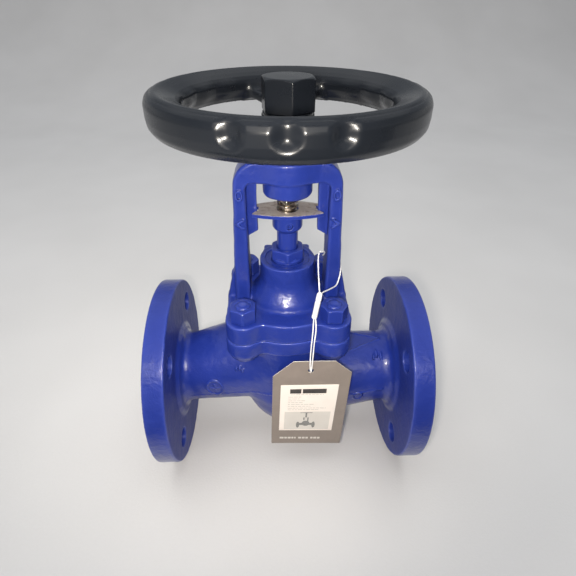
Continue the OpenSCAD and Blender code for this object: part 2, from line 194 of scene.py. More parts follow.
# ---------------------------------------------------------------- outlines and curves
def rounded(corners, steps=4):
    """Closed outline with a fillet at each corner (x, y, radius)."""
    out = []
    for i, (px, py, radius) in enumerate(corners):
        p = np.array((px, py), float)
        a = np.array(corners[i - 1][:2], float) - p
        b = np.array(corners[(i + 1) % len(corners)][:2], float) - p
        len_a, len_b = np.linalg.norm(a), np.linalg.norm(b)
        if radius <= 0 or len_a < 1e-6 or len_b < 1e-6:
            out.append(tuple(p))
            continue
        a /= len_a
        b /= len_b
        half = math.acos(float(np.clip(a @ b, -1, 1))) / 2
        if half > math.pi / 2 - 0.02:
            out.append(tuple(p))
            continue
        tangent = min(radius / math.tan(half), len_a * 0.45, len_b * 0.45)
        radius = tangent * math.tan(half)
        centre = p + (a + b) / np.linalg.norm(a + b) * radius / math.sin(half)
        start, end = p + a * tangent - centre, p + b * tangent - centre
        angle = math.atan2(start[1], start[0])
        sweep = math.atan2(end[1], end[0]) - angle
        sweep = (sweep + math.pi) % (2 * math.pi) - math.pi
        for k in range(steps + 1):
            w = angle + sweep * k / steps
            out.append((centre[0] + radius * math.cos(w), centre[1] + radius * math.sin(w)))
    return out


def catmull(a, b, c, d, count):
    """Points of the Catmull-Rom span from b up to c."""
    t = np.arange(count)[:, None] / count
    return 0.5 * (2 * b + (c - a) * t + (2 * a - 5 * b + 4 * c - d) * t * t
                  + (3 * b - a - 3 * c + d) * t ** 3)


def closed_curve(points, count=10):
    pts = np.array(points, float)
    n = len(pts)
    return np.concatenate([catmull(pts[i - 1], pts[i], pts[(i + 1) % n], pts[(i + 2) % n], count)
                           for i in range(n)])


def open_curve(points, step=0.45):
    pts = np.array(points, float)
    pts = np.vstack([2 * pts[0] - pts[1], pts, 2 * pts[-1] - pts[-2]])
    out = []
    for i in range(1, len(pts) - 2):
        a, b, c, d = pts[i - 1:i + 3]
        out.append(catmull(a, b, c, d, max(2, int(np.linalg.norm(c - b) / step))))
    return np.vstack(out + [np.array(points[-1:], float)])


def outline_field(outline, low, high, step):
    """Signed distance to a closed outline, tabled on a grid for cheap lookups."""
    pts = np.array(outline, float)
    xs, ys = np.arange(low[0], high[0], step), np.arange(low[1], high[1], step)
    X, Y = np.meshgrid(xs, ys, indexing="ij")
    best = np.full(X.shape, 1e9)
    inside = np.zeros(X.shape, bool)
    for a, b in zip(pts, np.roll(pts, -1, 0)):
        e = b - a
        t = np.clip(((X - a[0]) * e[0] + (Y - a[1]) * e[1]) / (e @ e), 0, 1)
        best = np.minimum(best, np.hypot(X - a[0] - t * e[0], Y - a[1] - t * e[1]))
        if e[1] != 0:
            crosses = (a[1] > Y) != (b[1] > Y)
            inside ^= crosses & (X < a[0] + (Y - a[1]) * e[0] / e[1])
    table = np.where(inside, -best, best).astype(F32)

    def look(u, v):
        i = np.clip((u - low[0]) / step, 0, len(xs) - 1.001)
        j = np.clip((v - low[1]) / step, 0, len(ys) - 1.001)
        i0, j0 = i.astype(int), j.astype(int)
        fi, fj = (i - i0).astype(F32), (j - j0).astype(F32)
        a = table[i0, j0] * (1 - fi) + table[i0 + 1, j0] * fi
        b = table[i0, j0 + 1] * (1 - fi) + table[i0 + 1, j0 + 1] * fi
        beyond = (np.maximum(np.maximum(low[0] - u, u - high[0]), 0)
                  + np.maximum(np.maximum(low[1] - v, v - high[1]), 0))
        return a * (1 - fj) + b * fj + beyond.astype(F32)
    return look


# ---------------------------------------------------------------- surface nets
def sample_field(field, low, high, cell):
    """Field values on a grid; blocks far from the surface only get a sign."""
    low = np.array(low, float)
    blocks = np.ceil((np.array(high, float) - low) / (cell * BLOCK)).astype(int)
    axes = [low[a] + cell * (np.arange(blocks[a]) * BLOCK + (BLOCK - 1) / 2) for a in range(3)]
    centres = np.stack(np.meshgrid(*axes, indexing="ij"), -1).reshape(-1, 3).astype(F32)
    value = field(centres)
    near = np.nonzero(np.abs(value) < cell * BLOCK * 0.87 * 1.3 + cell)[0]
    grid = np.empty((len(centres), BLOCK, BLOCK, BLOCK), F32)
    grid[:] = np.where(value < 0, F32(-99), F32(99))[:, None, None, None]
    offsets = np.stack(np.meshgrid(*[np.arange(BLOCK)] * 3, indexing="ij"), -1)
    offsets = offsets.reshape(-1, 3) * cell
    for s in range(0, len(near), BATCH):
        part = near[s:s + BATCH]
        base = centres[part].astype(float) - cell * (BLOCK - 1) / 2
        points = (base[:, None, :] + offsets[None]).reshape(-1, 3).astype(F32)
        grid[part] = field(points).reshape(len(part), BLOCK, BLOCK, BLOCK)
    grid = grid.reshape(*blocks, BLOCK, BLOCK, BLOCK).transpose(0, 3, 1, 4, 2, 5)
    return np.ascontiguousarray(grid.reshape(*(blocks * BLOCK))), low


def surface_nets(grid, low, cell):
    """One vertex in each mixed cell, one quad for each crossing edge."""
    inside = grid < 0
    size = np.array(grid.shape)
    count = np.zeros(tuple(size - 1), np.int8)
    for i, j, k in CORNERS:
        count += inside[i:size[0] - 1 + i, j:size[1] - 1 + j, k:size[2] - 1 + k]
    mixed = (count > 0) & (count < 8)
    cells = np.argwhere(mixed)
    number = np.full(mixed.shape, -1, np.int64)
    number[mixed] = np.arange(len(cells))
    value = {corner: grid[tuple((cells + corner).T)] for corner in CORNERS}
    total = np.zeros((len(cells), 3))
    crossings = np.zeros(len(cells))
    quads = []
    for axis in range(3):
        o1, o2 = [q for q in range(3) if q != axis]
        for u, v in product((0, 1), repeat=2):
            start = [0, 0, 0]
            start[o1], start[o2] = u, v
            end = list(start)
            end[axis] = 1
            va, vb = value[tuple(start)], value[tuple(end)]
            cross = (va < 0) != (vb < 0)
            point = np.tile(np.array(start, float), (len(cells), 1))
            point[:, axis] += np.where(cross, va / np.where(cross, va - vb, 1), 0)
            total += point * cross[:, None]
            crossings += cross
        lower = [slice(None)] * 3
        upper = [slice(None)] * 3
        lower[axis], upper[axis] = slice(0, -1), slice(1, None)
        low_inside = inside[tuple(lower)]
        e = np.argwhere(low_inside != inside[tuple(upper)])
        e = e[(e[:, o1] > 0) & (e[:, o2] > 0)
              & (e[:, o1] < size[o1] - 1) & (e[:, o2] < size[o2] - 1)]
        quad = []
        for d1, d2 in ((1, 1), (0, 1), (0, 0), (1, 0)):
            w = e.copy()
            w[:, o1] -= d1
            w[:, o2] -= d2
            quad.append(number[tuple(w.T)])
        quad = np.stack(quad, 1)
        reverse = low_inside[tuple(e.T)] ^ (axis != 1)
        quad[reverse] = quad[reverse][:, ::-1]
        quads.append(quad)
    return low + cell * (cells + total / crossings[:, None]), np.concatenate(quads)


def gradient(field, points, e=0.12):
    g = np.empty_like(points)
    for a in range(3):
        d = np.zeros(3)
        d[a] = e
        g[:, a] = (field((points + d).astype(F32)) - field((points - d).astype(F32))) / (2 * e)
    return g


def settle(field, points, cell, times=2):
    """Pull points onto the field's zero surface."""
    for _ in range(times):
        g = gradient(field, points)
        d = field(points.astype(F32))
        steep = np.maximum((g * g).sum(1), 0.05)
        points = points - np.clip(d / steep, -cell, cell)[:, None] * g
    return points


# ---------------------------------------------------------------- mesh objects
def place(ob, body, stands_for=None):
    if body:
        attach(ob, body)
    if stands_for:
        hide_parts(stands_for)


def add_object(name, mesh):
    ob = bpy.data.objects.new(name, mesh)
    bpy.context.scene.collection.objects.link(ob)
    return ob


def grid_quads(rows, cols, wrap_rows=False, wrap_cols=False):
    """Quads of a rows by cols grid of vertices, closed on itself where wrapped."""
    i, k = np.meshgrid(np.arange(rows - (not wrap_rows)), np.arange(cols - (not wrap_cols)),
                       indexing="ij")
    i2, k2 = (i + 1) % rows, (k + 1) % cols
    return np.stack([i * cols + k, i2 * cols + k, i2 * cols + k2, i * cols + k2],
                    -1).reshape(-1, 4)


def tube_quads(rings, sides):
    return grid_quads(rings, sides, wrap_cols=True)[:, [0, 3, 2, 1]]


def make_mesh(name, points, quads, material):
    """Smooth quad mesh from points in millimetres; material may be a list."""
    me = bpy.data.meshes.new(name)
    n = len(quads)
    me.vertices.add(len(points))
    me.vertices.foreach_set("co", ((points + LIFT) * 0.001).astype(F32).ravel())
    me.loops.add(n * 4)
    me.loops.foreach_set("vertex_index", quads.astype(np.int32).ravel())
    me.polygons.add(n)
    me.polygons.foreach_set("loop_start", np.arange(0, n * 4, 4, dtype=np.int32))
    me.polygons.foreach_set("use_smooth", np.ones(n, bool))
    me.update(calc_edges=True)
    for m in (material if isinstance(material, list) else [material]):
        me.materials.append(m)
    return add_object(name, me)


def decimate(ob, name, field, cell, ratio):
    """Thin the mesh out, settle it again and return its points."""
    ob.modifiers.new("d", "DECIMATE").ratio = ratio
    depsgraph = bpy.context.evaluated_depsgraph_get()
    me = bpy.data.meshes.new_from_object(ob.evaluated_get(depsgraph))
    old = ob.data
    ob.modifiers.clear()
    ob.data = me
    bpy.data.meshes.remove(old)
    me.name = name
    co = np.empty(len(me.vertices) * 3, F32)
    me.vertices.foreach_get("co", co)
    points = settle(field, co.reshape(-1, 3).astype(float) * 1000 - LIFT, cell, 1)
    me.vertices.foreach_set("co", ((points + LIFT) * 0.001).astype(F32).ravel())
    me.polygons.foreach_set("use_smooth", np.ones(len(me.polygons), bool))
    me.update()
    return points


def cast(name, field, low, high, cell, material, body, stands_for, pick=None):
    """A closed piece from a field in the box low to high, with the field's own normals.

    pick gives each face's material index from the face normals.
    """
    points, quads = surface_nets(*sample_field(field, low, high, cell), cell)
    points = settle(field, points, cell)
    ob = make_mesh(name, points, quads, material)
    triangles = len(quads) * 2.0
    if triangles > FACE_LIMIT:
        points = decimate(ob, name, field, cell, FACE_LIMIT / triangles)
    g = gradient(field, points)
    g /= np.maximum(np.linalg.norm(g, axis=1), 1e-6)[:, None]
    ob.data.normals_split_custom_set_from_vertices(g.astype(F32))
    if pick is not None:
        normals = np.empty(len(ob.data.polygons) * 3, F32)
        ob.data.polygons.foreach_get("normal", normals)
        index = pick(normals.reshape(-1, 3)).astype(np.int32)
        ob.data.polygons.foreach_set("material_index", index)
    place(ob, body, stands_for)


def lathe(name, profile, material, body, stands_for=None, origin=(0, 0, 0), axis=None,
          sides=72, sharp=32):
    """Closed profile of (radius, height) turned round an axis from origin, by default +Z."""
    t = np.arange(sides) * 2 * math.pi / sides
    r, z = np.array(profile, float).T
    points = np.stack([r[None] * np.cos(t)[:, None], r[None] * np.sin(t)[:, None],
                       np.broadcast_to(z[None], (sides, len(r)))], -1).reshape(-1, 3)
    if axis is not None:
        turn = Vector(axis).normalized().to_track_quat("Z", "Y").to_matrix()
        points = points @ np.array(turn).T
    points = points + np.array(origin)
    ob = make_mesh(name, points, grid_quads(sides, len(r), True, True), material)
    bm = bmesh.new()
    bm.from_mesh(ob.data)
    bmesh.ops.remove_doubles(bm, verts=bm.verts, dist=1e-6)
    bmesh.ops.dissolve_degenerate(bm, edges=bm.edges, dist=1e-7)
    bmesh.ops.recalc_face_normals(bm, faces=bm.faces)
    bm.to_mesh(ob.data)
    bm.free()
    ob.data.set_sharp_from_angle(angle=math.radians(sharp))
    place(ob, body, stands_for)
    return ob


# ---------------------------------------------------------------- shader nodes
class Nodes:
    """Short calls that add linked nodes to the tree of a material or world."""

    def __init__(self, owner):
        owner.use_nodes = True
        self.tree = owner.node_tree

    def add(self, kind):
        return self.tree.nodes.new("ShaderNode" + kind)

    def put(self, sockets, values):
        """Link or set each socket; three numbers are an opaque colour."""
        for key, value in values.items():
            if isinstance(value, bpy.types.NodeSocket):
                self.tree.links.new(value, sockets[key])
            else:
                sockets[key].default_value = (*value, 1) if isinstance(value, tuple) else value

    def coords(self, scale=(1, 1, 1)):
        source = self.add("TexCoord")
        mapping = self.add("Mapping")
        mapping.inputs["Scale"].default_value = scale
        self.put(mapping.inputs, {"Vector": source.outputs["Object"]})
        return mapping.outputs["Vector"]

    def noise(self, vector, scale, detail=3.0, roughness=0.55, distortion=0.0):
        node = self.add("TexNoise")
        self.put(node.inputs, {"Scale": scale, "Detail": detail, "Roughness": roughness,
                               "Distortion": distortion, "Vector": vector})
        return node.outputs["Fac"]

    def ramp(self, fac, *stops):
        """Colour ramp through stops (position, colour)."""
        node = self.add("ValToRGB")
        elements = node.color_ramp.elements
        while len(elements) < len(stops):
            elements.new(0.5)
        for k, (position, colour) in enumerate(stops):
            elements[k].position = position
            elements[k].color = (*colour, 1)
        self.put(node.inputs, {"Fac": fac})
        return node.outputs["Color"]

    def fade(self, fac, start, end, rising=True):
        """Grey value going from 0 to 1 between two positions, or from 1 to 0."""
        first, last = ((0, 0, 0), (1, 1, 1)) if rising else ((1, 1, 1), (0, 0, 0))
        colour = self.ramp(fac, (start, first), (end, last))
        node = self.add("RGBToBW")
        self.put(node.inputs, {0: colour})
        return node.outputs[0]

    def maths(self, operation, a, b=None):
        node = self.add("Math")
        node.operation = operation
        self.put(node.inputs, {0: a} if b is None else {0: a, 1: b})
        return node.outputs[0]

    def mix(self, factor, a, b, mode="MIX"):
        node = self.add("Mix")
        node.data_type = "RGBA"
        node.blend_type = mode
        # sockets 6 and 7 and output 2 are the colour ones
        self.put(node.inputs, {0: factor, 6: a, 7: b})
        return node.outputs[2]

    def bump(self, height, distance, strength, under=None):
        node = self.add("Bump")
        self.put(node.inputs, {"Strength": strength, "Distance": distance, "Height": height})
        if under is not None:
            self.put(node.inputs, {"Normal": under})
        return node.outputs["Normal"]

    def remap(self, value, low, high, from_low=0.0, from_high=1.0):
        node = self.add("MapRange")
        self.put(node.inputs, {"From Min": from_low, "From Max": from_high,
                               "To Min": low, "To Max": high, "Value": value})
        return node.outputs["Result"]


def new_material(name):
    mat = bpy.data.materials.new(name)
    nodes = Nodes(mat)
    return mat, nodes, mat.node_tree.nodes["Principled BSDF"].inputs


# ---------------------------------------------------------------- materials
def enamel(name, rough_cast=True):
    """Blue enamel: uneven film, orange peel, the sand casting's grain under it, and a painted
    highlight on convex edges.
    """
    mat, n, surface = new_material(name)
    v = n.coords()
    slow = n.noise(v, 22, detail=2.0)
    medium = n.noise(v, 140)
    col = n.ramp(slow, (0.3, (0.0085, 0.0215, 0.178)), (0.7, (0.0125, 0.0285, 0.228)))
    col = n.mix(n.remap(medium, 0.0, 0.35), col, (0.017, 0.036, 0.26))
    # painted highlight: convex edges and corners are painted a lighter blue
    geometry = n.add("NewGeometry").outputs
    edge = n.fade(geometry["Pointiness"], 0.50, 0.56)
    col = n.mix(n.maths("MULTIPLY", edge, 0.35), col, (0.06, 0.095, 0.42))
    # faint dust specks, in patches
    cells = n.add("TexVoronoi")
    n.put(cells.inputs, {"Scale": 260, "Vector": v})
    specks = n.fade(cells.outputs["Distance"], 0.03, 0.055, rising=False)
    patches = n.fade(n.noise(v, 60, detail=1.0), 0.58, 0.68)
    dust = n.maths("MULTIPLY", n.maths("MULTIPLY", specks, patches), 0.5)
    col = n.mix(dust, col, (0.16, 0.19, 0.42))
    n.put(surface, {"Base Color": col, "Specular IOR Level": 0.36})
    # surfaces facing along the pipe, such as the flange faces, are duller than the rest
    normal = n.add("SeparateXYZ")
    n.put(normal.inputs, {0: geometry["Normal"]})
    dull = n.remap(n.maths("ABSOLUTE", normal.outputs["X"]), 0.0, 1.0,
                   from_low=0.90, from_high=0.985)
    roughness = n.remap(n.noise(v, 55), 0.26, 0.42)
    n.put(surface, {
        "Roughness": n.maths("ADD", roughness, n.maths("MULTIPLY", dull, 0.20)),
        "Coat Weight": n.remap(dull, 0.44, 0.05),
        "Coat Roughness": 0.06})
    peel = n.noise(v, 420, detail=2.0, roughness=0.5)
    relief = n.bump(peel, distance=0.00006, strength=0.8)
    if rough_cast:
        grain = n.noise(v, 190, detail=4.0, roughness=0.6, distortion=0.3)
        patches = n.remap(n.noise(v, 16, detail=2.0), 0.25, 1.1)
        relief = n.bump(n.maths("MULTIPLY", grain, patches), distance=0.0009, strength=0.9,
                        under=relief)
    n.put(surface, {"Normal": relief, "Coat Normal": relief})
    return mat


def black_gloss(name):
    mat, n, surface = new_material(name)
    v = n.coords()
    slow = n.noise(v, 18, detail=2.0)
    n.put(surface, {
        "Base Color": n.ramp(slow, (0.3, (0.0062, 0.0078, 0.0110)),
                             (0.7, (0.0090, 0.0108, 0.0145))),
        "Roughness": n.remap(n.noise(v, 45), 0.22, 0.34),
        "Coat Weight": 0.15, "Specular IOR Level": 0.30, "Coat Roughness": 0.09})
    peel = n.noise(v, 300, detail=2.0, roughness=0.5)
    relief = n.bump(peel, distance=0.00004, strength=0.6)
    waves = n.noise(v, 40, detail=1.0, roughness=0.5)
    relief = n.bump(waves, distance=0.0004, strength=0.25, under=relief)
    n.put(surface, {"Normal": relief, "Coat Normal": relief})
    return mat


def metal(name, dark, light, roughness, turned=True, stain=None, grain=900, metallic=1.0):
    """Bare metal with fine lines round the axis, or along Y if it is not turned."""
    mat, n, surface = new_material(name)
    v = n.coords()
    col = n.ramp(n.noise(v, 120, detail=4.0), (0.3, dark), (0.7, light))
    if stain:
        spots = n.fade(n.noise(v, 260, detail=4.0, roughness=0.65), 0.52, 0.66)
        col = n.mix(n.maths("MULTIPLY", spots, 0.7), col, stain)
    n.put(surface, {"Base Color": col, "Metallic": metallic,
                    "Roughness": n.remap(n.noise(v, 320), *roughness)})
    stretched = n.coords((0.15, 0.15, 4.0) if turned else (1.0, 0.12, 1.0))
    lines = n.noise(stretched, grain, detail=2.0)
    n.put(surface, {"Normal": n.bump(lines, distance=0.00004, strength=0.6)})
    return mat


def matte(name, dark, light, roughness, scale, depth, fine):
    mat, n, surface = new_material(name)
    v = n.coords()
    n.put(surface, {
        "Base Color": n.ramp(n.noise(v, scale, detail=4.0), (0.3, dark), (0.7, light)),
        "Roughness": n.remap(n.noise(v, scale * 2.5), *roughness),
        "Normal": n.bump(n.noise(v, fine), distance=depth, strength=0.8)})
    return mat


BLUE = enamel("blue_enamel_cast")
BLUE_FINE = enamel("blue_enamel_smooth", rough_cast=False)
BLUE_DARK = enamel("blue_enamel_in_holes", rough_cast=False)
# only takes effect if the roughness nodes are unlinked
BLUE_DARK.node_tree.nodes["Principled BSDF"].inputs["Roughness"].default_value = 0.6
BLACK = black_gloss("black_enamel")
STEEL = metal("turned_steel", dark=(0.40, 0.40, 0.41), light=(0.58, 0.58, 0.59),
              roughness=(0.22, 0.4))
THREAD = metal("oiled_thread", dark=(0.36, 0.31, 0.25), light=(0.74, 0.68, 0.60),
               roughness=(0.16, 0.32), stain=(0.12, 0.09, 0.06))
PLATE = metal("bare_plate", dark=(0.34, 0.30, 0.285), light=(0.44, 0.395, 0.375),
              roughness=(0.44, 0.62), turned=False, stain=(0.17, 0.135, 0.115), grain=500,
              metallic=0.35)
BRONZE = metal("bronze", dark=(0.55, 0.36, 0.14), light=(0.72, 0.50, 0.22),
               roughness=(0.25, 0.42))
FACING = metal("serrated_face", dark=(0.34, 0.34, 0.35), light=(0.50, 0.50, 0.51),
               roughness=(0.3, 0.5))

# name, dark colour, light colour, roughness range, mottle scale, relief in m, relief scale
MATTE_ROWS = (
    ("graphite", (0.03, 0.03, 0.032), (0.075, 0.075, 0.08), (0.45, 0.7), 200, 0.0001, 700),
    ("tag_card_taupe", (0.205, 0.172, 0.150), (0.230, 0.194, 0.170), (0.42, 0.56),
     90, 0.00002, 700),
    ("tag_card_edge", (0.52, 0.50, 0.46), (0.66, 0.63, 0.58), (0.6, 0.8), 400, 0.00003, 700),
    ("tag_label_cream", (0.76, 0.69, 0.635), (0.80, 0.735, 0.68), (0.5, 0.62),
     60, 0.00001, 700),
    ("tag_panel_grey", (0.565, 0.535, 0.495), (0.61, 0.58, 0.54), (0.5, 0.62),
     60, 0.00001, 700),
    ("tag_ink_dark", (0.03, 0.028, 0.028), (0.06, 0.055, 0.05), (0.45, 0.6),
     300, 0.00001, 700),
    ("tag_ink_pale", (0.44, 0.42, 0.38), (0.54, 0.52, 0.48), (0.5, 0.65), 900, 0.00001, 700),
    ("tag_ink_grey", (0.15, 0.15, 0.145), (0.24, 0.24, 0.23), (0.5, 0.65),
     700, 0.00001, 700),
    ("tag_print_light", (0.50, 0.47, 0.43), (0.66, 0.63, 0.59), (0.5, 0.65),
     900, 0.00001, 700),
    ("white_plastic", (0.74, 0.74, 0.75), (0.80, 0.80, 0.81), (0.28, 0.4), 80, 0.00003, 700),
    ("white_string", (0.66, 0.66, 0.68), (0.84, 0.84, 0.85), (0.6, 0.8),
     900, 0.00012, 1800),
)
MATTE = {row[0]: matte(*row) for row in MATTE_ROWS}


# ---------------------------------------------------------------- body casting
def fit_stations(stations):
    """Parabolas through rows (x, section centre height, section radius)."""
    x, centre, radius = zip(*stations)
    return np.polyfit(x, centre, 2), np.polyfit(x, radius, 2)


NECK_LEFT = fit_stations([(-30, 15.6, 38.0), (-56, 9.9, 34.6), (-68, 6.4, 32.7),
                          (-81, 4.0, 31.3), (-95, 1.0, 29.8)])
NECK_RIGHT = fit_stations([(30, -7.5, 37.5), (61, -3.8, 34.3), (80, -1.5, 32.5),
                           (95, 0.0, 31.0)])
# small raised marks on the front of the necks: x, z, size
CAST_DOTS = ((-43.8, 28.4, 0.8), (-41.0, 29.6, 1.0), (-38.4, 28.0, 0.7),
             (75.6, 25.6, 0.8), (78.2, 26.9, 0.9), (82.2, 26.2, 0.8))
NO_MARK = F32(9)            # distance given where a raised mark must not appear


def neck(x, y, z, fit):
    """Round neck whose section's centre height and radius change along the pipe."""
    centre, radius = [(F32(c[0]) * x + F32(c[1])) * x + F32(c[2]) for c in fit]
    return hypot(y, z - centre) - radius


def joint_outline(x, y):
    """Joint flange seen from above: round, four stud lobes, straight left and right sides."""
    ax, ay = np.abs(x), np.abs(y)
    lobes = smooth_min(hypot(x, y) - 47.0, hypot(ax - STUD_XY, ay - STUD_XY) - 14.0, 8.0)
    return smooth_min(lobes, both(ax - 48.2, ay - 34.0, 4.0), 2.0)


def cavity_field(x, y, z, pipe_r, stem_r):
    """Flow passages and the chamber under the bonnet."""
    ax = np.abs(x)
    left_passage = np.maximum(segment(x, y, z, (-73, 0, 0), (-3, 0, 18.8)) - 21.5,
                              np.minimum(16 - z, x + 36))
    return union(
        both(pipe_r - 25.0, 72 - ax, 0.1),
        np.sqrt((ax - 72) ** 2 + pipe_r * pipe_r) - 24.4,
        segment(x, y, z, (73, 0, -1), (73 - 63.3, 0, -23.0)) - 19,
        np.sqrt(stem_r * stem_r + (z + 20) ** 2) - 23,
        both(stem_r - 21.5, slab(z, -6, 14), 0.1),
        both(stem_r - 28.0, slab(z, 12, 5), 0.1),
        both(stem_r - 31.0, slab(z, 41, 25), 0.1),
        both(stem_r - 38.5, slab(z, 68, 2), 0.1),
        left_passage)


def body_marks(x, y, z, d):
    """Raised marks on the front of the necks, laid on the surface d."""
    zr = (z - 7.0) * 0.85
    left_x = x + 63.6
    small_ring = hypot(x - 62, (z + 6.5) * 0.85)
    marks = union(
        both(d - 0.8, slab(hypot(left_x, zr), 7.0, 0.75), 0.4),
        both(d - 0.75, np.maximum(np.abs(left_x) - 3.8, np.abs(zr) - 0.75), 0.4),
        both(d - 0.75, np.maximum(np.abs(left_x) - 0.8, np.abs(zr) - 3.4), 0.4),
        both(d - 0.7, slab(small_ring, 3.8, 0.7), 0.4))
    for cx, cz, size in CAST_DOTS:
        dot = hypot((x - cx) / 1.2, (z - cz) / 1.9) * 1.2 - 1.25 * size
        marks = np.minimum(marks, both(d - 0.85, dot, 0.3))
    return np.where(y < 0, marks, NO_MARK)


def body_field(p):
    x, y, z = p.T
    ax = np.abs(x)
    pipe_r, stem_r = hypot(y, z), hypot(x, y)
    left = neck(np.minimum(x, -10), y, z, NECK_LEFT) * 0.985
    left = np.maximum(left, np.maximum(x + 12, -97 - x))
    # the right neck has a sloping flat on top
    right = neck(np.maximum(x, 10), y, z, NECK_RIGHT) * 0.99
    right = smooth_max(right, (z - (28.0 + (x - 57) * 0.117)) * 0.99, 0.5)
    right = np.maximum(right, np.maximum(12 - x, x - 97))
    d = smooth_min(left, ellipsoid(x, y, z, (2, 0, -3), (43, 46, 51)), 4.0)
    d = smooth_min(d, right, 5.0)
    d = smooth_min(d, both(stem_r - 42.0, slab(z, 28, 33), 3.0), 8.0)
    # joint flange; its four stud lobes reach further down
    flange = both(joint_outline(x, y), slab(z, 61.5, 6.5), 1.3)
    lobe_r = hypot(ax - STUD_XY, np.abs(y) - STUD_XY)
    lobe = both(lobe_r - 13.0, slab(z, 58, 8.5), 3.0)
    d = smooth_min(d, smooth_min(flange, lobe, 4.0), 5.0)
    # end flanges: boss with a fillet to the neck, the plate, the raised face
    d = smooth_min(d, both(pipe_r - 40.0, slab(ax, 96, 2.6), 2.5), 11.0)
    d = smooth_min(d, both(pipe_r - FLANGE_R, slab(ax, 103.5, 8.5), 1.4), 6.0)
    d = np.minimum(d, both(pipe_r - 51.0, slab(ax, 111.4, 3.45), 0.4))
    # ridges along both edges of the flat
    crease = np.minimum(segment(x, y, z, (54.0, -12.6, 27.7), (83.0, -0.8, 30.6)),
                        segment(x, y, z, (58.0, 12.9, 28.2), (83.0, 0.8, 30.6))) - 0.9
    d = smooth_min(d, crease, 0.7)
    # casting seam along the pipe
    seam_z = np.where(x < 0, -1.5 + (x + 59) * 0.198, -9.0 + (x - 20) * 0.14)
    seam = both(d - 0.35, np.abs(z - seam_z) - 0.9, 0.3)
    d = smooth_min(d, both(seam, np.maximum(14 - ax, ax - 84), 0.6), 0.9)
    d = smooth_min(d, body_marks(x, y, z, d), 0.6)
    # waviness, very little of it on the end flanges
    d = d + wobble(x, y, z) * 0.105 * np.clip((99 - ax) / 6, 0.08, 1)
    bolt_r = hypot(np.abs(y) - BOLT_YZ, np.abs(z) - BOLT_YZ)
    d = carve(d, np.maximum(bolt_r - 9.0, 90 - ax), 0.7)
    return carve(d, cavity_field(x, y, z, pipe_r, stem_r), 0.6)


cast("valve_body_casting", body_field, (-118, -86, -86), (118, 86, 86), 1.12,
     BLUE, "valve", "body")

# ---------------------------------------------------------------- bonnet and yoke casting
# radius and distances from the axis over height
dome_r = smooth_curve([60, 84, 86.5, 89.5, 93, 96, 99, 102, 106, 125],
                      [31.0, 31.0, 30.4, 29.2, 26.6, 24.4, 22.9, 22.1, 21.8, 21.8], 1.2)
arm_outer_x = smooth_curve([60, 104, 115, 176, 190, 210],
                           [41.3, 41.2, 41.2, 38.7, 38.2, 38.0], 3.0)
gusset_x = smooth_curve([60, 76, 92, 106.5, 112, 120], [50.0, 49.2, 46.7, 43.5, 40.9, 35.0], 1.6)
# bores along the spindle: radius, middle height, half height
BONNET_BORES = ((9.0, 99, 4), (12.56, 111, 10), (9.3, 170, 6), (12.6, 181, 9), (17.06, 196, 12))


def bonnet_field(p):
    x, y, z = p.T
    ax, ay = np.abs(x), np.abs(y)
    stem_r = hypot(x, y)
    flange = both(joint_outline(x, y), between(z, BONNET_BASE, BONNET_TOP), 1.3)
    dome = both((stem_r - dome_r(z)) * 0.9, z - 118.0, 0.9)
    dome = np.maximum(dome, 70 - z)
    back = np.maximum(both(ax - 18.6, y - 21.0, 2.5), 2 - y)
    dome = smooth_min(dome, both(back, slab(z, 110, 8.0), 0.9), 2.5)
    d = smooth_min(flange, dome, 3.0)
    # both arms and the bridge: one outline in front view, one in plan
    outer = round_corner(ax, z, arm_outer_x(z), 198.0, 17.0)
    gap = round_corner(ax, z, 29.8, 182.4, 5.0)
    plan = smooth_min(ay - 12.0, stem_r - 18.6, 9.0)
    yoke = both(np.maximum(outer, -gap), plan, 2.4)
    d = smooth_min(d, np.maximum(yoke, 74 - z), 3.0)
    d = smooth_min(d, both(stem_r - 17.8, slab(z, 184.6, 13.4), 3.0), 1.0)
    # guide ribs on the inner faces
    rib = np.maximum(22.3 - ax, (-0.50) * (ax - 22.3) - 0.866 * (z - 143.0))
    rib = both(np.maximum(rib, ax - 33), ay - 3.1, 0.9)
    d = smooth_min(d, np.maximum(rib, np.maximum(z - 186, 132 - z)), 1.6)
    # outer gussets
    gusset = both(np.maximum(ax - gusset_x(z), 36 - ax), ay - 4.6, 2.0)
    d = smooth_min(d, np.maximum(gusset, np.maximum(z - 116, 76 - z)), 3.2)
    # raised rings and slanting bars on the arms' front faces
    from_mark = ax - 34.4
    ring = slab(hypot(from_mark * 1.6, z - 174.3), 3.4, 0.8)
    bar_z = np.abs(z - 152.6)
    bars = np.abs(from_mark * 0.62 + bar_z * 0.78 - 1.4) - 0.85
    marks = np.minimum(both(d - 1.25, ring, 0.45),
                       both(d - 1.25, np.maximum(bars, bar_z - 3.6), 0.45))
    d = smooth_min(d, np.where(y < -6, marks, NO_MARK), 0.7)
    d = d + wobble(x + 40, y, z) * 0.13 * np.clip((197 - z) / 6, 0.1, 1)
    # seat ring round the gland nut, then the bores
    d = carve(d, both(stem_r - 17.4, slab(z, 121.3, 4.0), 0.2), 0.5)
    bores = [both(stem_r - r, slab(z, middle, half), 0.1) for r, middle, half in BONNET_BORES]
    return carve(d, union(both(stem_r - 17.6, z - 98, 0.1), *bores), 0.5)


cast("bonnet_and_yoke_casting", bonnet_field, (-54, -54, 64), (54, 54, 202), 0.86,
     BLUE, "valve", "bonnet")

